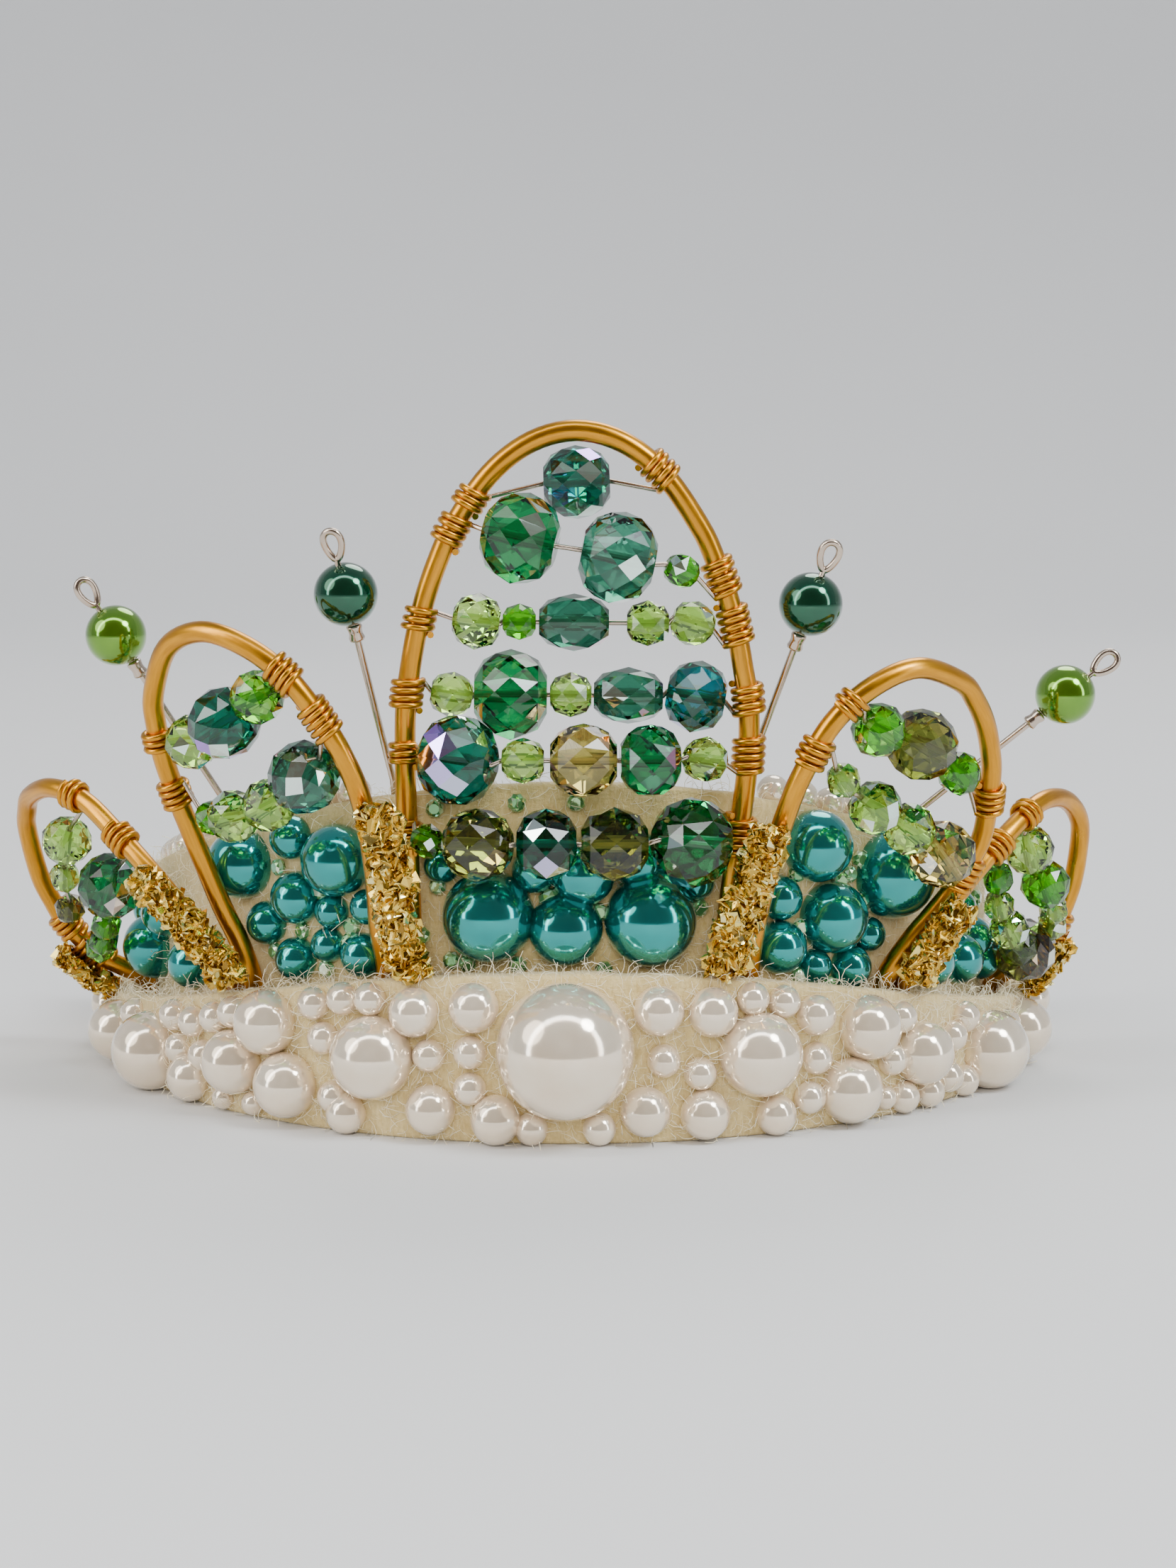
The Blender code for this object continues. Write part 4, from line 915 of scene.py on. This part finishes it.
def fitted_core(node):
    """A crust's solid, made thinner, then turned, moved outwards (mm), leaned and sized by its fit."""
    core = frame["nodes"][node].data.copy()
    bm = bmesh.new()
    bm.from_mesh(core)
    bmesh.ops.remove_doubles(bm, verts=bm.verts, dist=0.01 * MM)
    middle = sum((vert.co for vert in bm.verts), Vector()) / len(bm.verts)
    foot = min((vert.co.copy() for vert in bm.verts), key=lambda co: co.z)
    turn, forward, lean, grown = CRUST_FITS.get(node, (0.0, 0.0, 0.0, 1.0))
    for vert in bm.verts:
        spot = middle + (vert.co - middle) * CORE_SHARE
        spot = foot + (spot - foot) * grown
        angle = degrees(atan2(spot.x, AXIS_Y - spot.y))
        reach = hypot(spot.x, AXIS_Y - spot.y)
        vert.co = place(angle + turn, reach + forward * MM, spot.z)
        vert.co.x += lean * (spot.z - foot.z)
    bm.to_mesh(core)
    bm.free()
    return core


for number, node in enumerate(sorted(name for name in frame["nodes"] if name.startswith("chips_"))):
    heap = heaps.make(node + "_heap", fitted_core(node), Density=3600000.0, Size=CHIP_SIZE, Seed=number + 11,
                      Chips=chip_box, Material=chips_gold.material)
    settle(heap, "chips_gold", node)
for chip in list(chip_box.objects):
    bpy.data.objects.remove(chip)


# Head pins: bright wire glued behind the wall, with a green pearl held by a crimp and a closed,
# drop-shaped eye on top.
PIN_WIRE = 0.85 * MM
PIN_PEARL = 7.4 * MM
PIN_LOOP = 3.6 * MM
PIN_CRIMP = 2.2 * MM
CRIMP_SHAPE = ((0.0, 0.55), (0.08, 0.95), (0.2, 1.0), (0.42, 0.84), (0.6, 0.86), (0.82, 1.0), (0.94, 0.92),
               (1, 0.55))
PIN_ROOT = 9 * MM
BEHIND_WALL = 53.8 * MM
PINS = {
    "pin_far_left": (-50.0, -54.8, 9.4, 57.4, 80.0, "pearl_green_light"),
    "pin_left": (-22.6, -23.8, 4.8, 63.4, 10.0, "pearl_green_dark"),
    "pin_right": (22.8, 26.4, 5.0, 62.2, -20.0, "pearl_green_dark"),
    "pin_far_right": (50.5, 60.4, 12.6, 49.8, -60.0, "pearl_green_light"),
}
green_pearls = {
    "pearl_green_light": pearl_finish("pearl_green_light", (0.075, 0.22, 0.006), (0.19, 0.4, 0.02), 0.85),
    "pearl_green_dark": pearl_finish("pearl_green_dark", (0.0, 0.05, 0.022), (0.004, 0.115, 0.05), 0.85),
}
for node, (foot_angle, angle, lean, height, turn, colour) in PINS.items():
    behind = BEHIND_WALL - PIN_WIRE / 2
    rim = wall_top(foot_angle)
    knee = place(foot_angle, behind, rim + PIN_WIRE)
    pearl = place(angle, LEG_RADIUS + lean * MM, height * MM)
    lie = (pearl - knee).normalized()
    eye = pearl + lie * (PIN_PEARL / 2 + PIN_LOOP / 2 + PIN_WIRE)
    side = Matrix.Rotation(radians(turn), 3, lie) @ lie.cross(outward(angle)).normalized()
    bend = place(foot_angle, behind, rim - 1.2 * MM)
    stem = smooth_line([place(foot_angle, behind, rim - PIN_ROOT), bend, knee + lie * PIN_WIRE], 0.7 * MM)
    loop = []
    for step in range(33):
        around = radians(-90 + 360 * step / 32)
        rise = lie * (1.25 * sin(around) - 0.15)
        spread = side * cos(around) * (0.74 + 0.2 * sin(around))
        loop.append(eye + (rise + spread) * (PIN_LOOP - PIN_WIRE) / 2)
    below = pearl - lie * PIN_PEARL / 2
    crimp = []
    for share, wide in CRIMP_SHAPE:
        crimp.append((below - lie * PIN_CRIMP * (1 - share), PIN_CRIMP * wide * 0.86))
    routes = [(stem + [pearl] + loop, PIN_WIRE), ([spot for spot, _ in crimp], [wide for _, wide in crimp])]
    run_wires(node + "_wire", routes, 12, wire_silver, node)
    set_pearls(node + "_pearl", [(pearl, PIN_PEARL, lie)], green_pearls[colour], node, 48, 32, WHOLE_BALL)


# Comb: a plain wire comb lashed behind the front of the wall. Its teeth run down and turn in at the tips.
COMB_BAR = 2.2 * MM
COMB_TOOTH = 1.4 * MM
COMB_HEIGHT = 27 * MM
COMB_FOOT = 3 * MM
COMB_SPAN = 22
COMB_TEETH = 11
COMB_HOOK = 3 * MM
comb_radius = BEHIND_WALL - COMB_BAR / 2


def tooth_angle(number):
    return -COMB_SPAN + 2 * COMB_SPAN * number / (COMB_TEETH - 1)


bar = [place(angle, comb_radius, COMB_HEIGHT) for angle in range(-COMB_SPAN - 2, COMB_SPAN + 3)]
comb_routes = [(bar, [COMB_BAR * (0.6 if index in (0, len(bar) - 1) else 1) for index in range(len(bar))])]
for number in range(COMB_TEETH):
    angle = tooth_angle(number)
    bends = [place(angle, comb_radius, COMB_HEIGHT), place(angle, comb_radius, (COMB_HEIGHT + COMB_FOOT) / 2),
             place(angle, comb_radius - COMB_HOOK, COMB_FOOT)]
    tooth = smooth_line(bends, 1.2 * MM)
    widths = [COMB_TOOTH * (1 if index < len(tooth) - 3 else 1 - 0.18 * (index - len(tooth) + 4))
              for index in range(len(tooth))]
    comb_routes.append((tooth, widths))
run_wires("comb_wire", comb_routes, 10, wire_silver, "comb")


# Lashing and glue: doubled cream thread sews the comb's bar to the felt between its teeth, and a flat drop of
# clear glue holds the root of each pin to the back of the wall.
UP = Vector((0, 0, 1))
LASHING = 0.5 * MM
STITCH_PITCH = 0.55 * MM
STITCH_TURNS = 3
STITCH_STEPS = 16
GLUE_DROP = (3.4 * MM, 5.2 * MM, 0.9 * MM)
thread_cream = Finish("thread_cream", Roughness=0.8, Sheen_Weight=0.3)
twist = thread_cream.grain(2600, 2)
thread_cream.set(Base_Color=thread_cream.mix(twist, (0.7, 0.58, 0.36), (0.9, 0.82, 0.62)))
stitches = []
reach = COMB_BAR / 2 + LASHING / 2
for gap in range(0, COMB_TEETH - 1, 2):
    angle = tooth_angle(gap + 0.5)
    middle = place(angle, comb_radius, COMB_HEIGHT)
    out = outward(angle)
    side = UP.cross(out)
    wraps = []
    for step in range(STITCH_TURNS * STITCH_STEPS + 1):
        around = tau * step / STITCH_STEPS
        drift = (step / STITCH_STEPS - STITCH_TURNS / 2) * STITCH_PITCH
        loop = out * 1.15 * cos(around) + UP * sin(around)
        wraps.append(middle + loop * reach + side * drift)
    stitches.append((wraps, LASHING))
run_wires("comb_lashing", stitches, 8, thread_cream, "comb", "felt_cream")

glue_clear = Finish("glue_clear", Transmission_Weight=1.0, IOR=1.45, Coat_Weight=0.5)
puddle = glue_clear.grain(500, 3)
glue_clear.set(Base_Color=glue_clear.mix(puddle, (0.86, 0.84, 0.7), (0.97, 0.96, 0.88)))
glue_clear.set(Roughness=0.05 + 0.2 * puddle)
bm = bmesh.new()
for foot_angle, *_ in PINS.values():
    middle = place(foot_angle, BEHIND_WALL - 0.1 * MM, wall_top(foot_angle) - PIN_ROOT * 0.72)
    out = outward(foot_angle)
    side = UP.cross(out)
    drop = bmesh.ops.create_uvsphere(bm, u_segments=24, v_segments=14, radius=0.5)["verts"]
    for vert in drop:
        lump = 1 + 0.16 * noise.noise(vert.co * 3 + Vector((foot_angle, 0, 0)))
        wide, tall, deep = (size * lump for size in GLUE_DROP)
        vert.co = middle + side * vert.co.x * wide + out * vert.co.y * deep * 2 + UP * vert.co.z * tall
settle(plain_object("glue_drops", bm, glue_clear), "felt_cream", "teal_wall")


# Studio: a pale floor that sweeps up behind the tiara, a soft lamp high on the right, weaker ones round
# it, and a broad ring of light round the camera, which the pearls show as bright arcs.
FLOOR_REACH = 14
SWEEP_START = 0.9
SWEEP_RADIUS = 0.7
SWEEP_TOP = 2.6
RING_POWER = 26.0
CAMERA_DROOP = radians(7.2)
floor_finish = Finish("floor_paper", Roughness=0.85)
speck = floor_finish.grain(3, 3)
floor_finish.set(Base_Color=floor_finish.mix(speck, (0.62, 0.62, 0.62), (0.68, 0.68, 0.68)))
sweep = [(-FLOOR_REACH, 0.0), (SWEEP_START, 0.0)]
for step in range(1, 13):
    around = radians(90 * step / 12)
    sweep.append((SWEEP_START + SWEEP_RADIUS * sin(around), SWEEP_RADIUS * (1 - cos(around))))
sweep.append((SWEEP_START + SWEEP_RADIUS, SWEEP_TOP))
bm = bmesh.new()
edges = [[bm.verts.new((x, y, z)) for x in (-FLOOR_REACH, FLOOR_REACH)] for y, z in sweep]
for (a, b), (c, d) in zip(edges, edges[1:]):
    bm.faces.new((a, b, d, c))
plain_object("floor_sweep", bm, floor_finish)

world = bpy.data.worlds.new("soft_room")
bpy.context.scene.world = world
world.use_nodes = True
sky = Bench(world.node_tree)
look = sky.node("ShaderNodeTexCoord")["Generated"]
to_camera = (0.0, -cos(CAMERA_DROOP), sin(CAMERA_DROOP))
facing = sky.node("ShaderNodeVectorMath", [look, to_camera], operation="DOT_PRODUCT")["Value"]
share = facing * 0.5 + 0.5
glow = sky.ramp(share, (0.0, (0.46, 0.47, 0.48)), (0.5, (0.36, 0.39, 0.42)), (0.68, (0.26, 0.3, 0.34)),
                (0.78, (0.26, 0.24, 0.23)), (0.88, (0.15, 0.12, 0.1)), (1.0, (0.1, 0.08, 0.07)))
ring = sky.ramp(share, (0.69, (0, 0, 0)), (0.712, (1, 1, 1)), (0.752, (1, 1, 1)), (0.775, (0, 0, 0)))
backdrop = sky.tree.nodes["Background"]
sky.tree.links.new(glow.socket, backdrop.inputs["Color"])
sky.tree.links.new((1.0 + ring * RING_POWER).socket, backdrop.inputs["Strength"])

for name, spot, size, power, colour in (
        ("window_right", (0.55, -0.35, 0.75), 0.35, 6.0, (0.86, 0.94, 1.0)),
        ("fill_left", (-0.7, -0.3, 0.5), 0.6, 3.0, (1, 0.96, 0.9)),
        ("front_fill", (0.0, -0.6, 0.28), 0.3, 2.6, (1, 0.94, 0.86)),
        ("back_rim", (0.2, 0.7, 0.9), 0.6, 5.0, (1, 0.98, 0.95))):
    lamp = bpy.data.lights.new(name, "AREA")
    lamp.shape = "DISK"
    lamp.size = size
    lamp.energy = power
    lamp.color = colour
    holder = new_object(name, lamp)
    holder.location = spot
    aim = Vector((0, 0.02, 0.03)) - Vector(spot)
    holder.rotation_euler = aim.to_track_quat("-Z", "Y").to_euler()
    holder.visible_glossy = name != "front_fill"

eye_data = bpy.data.cameras.new("photo_view")
eye_data.lens = 61.03
eye_data.sensor_width = 36
eye_data.clip_start = 0.01
viewer = new_object("photo_view", eye_data)
viewer.location = (0.0024, -0.30125, 0.08)
viewer.rotation_euler = (radians(90) - CAMERA_DROOP, 0, 0)
bpy.context.scene.camera = viewer
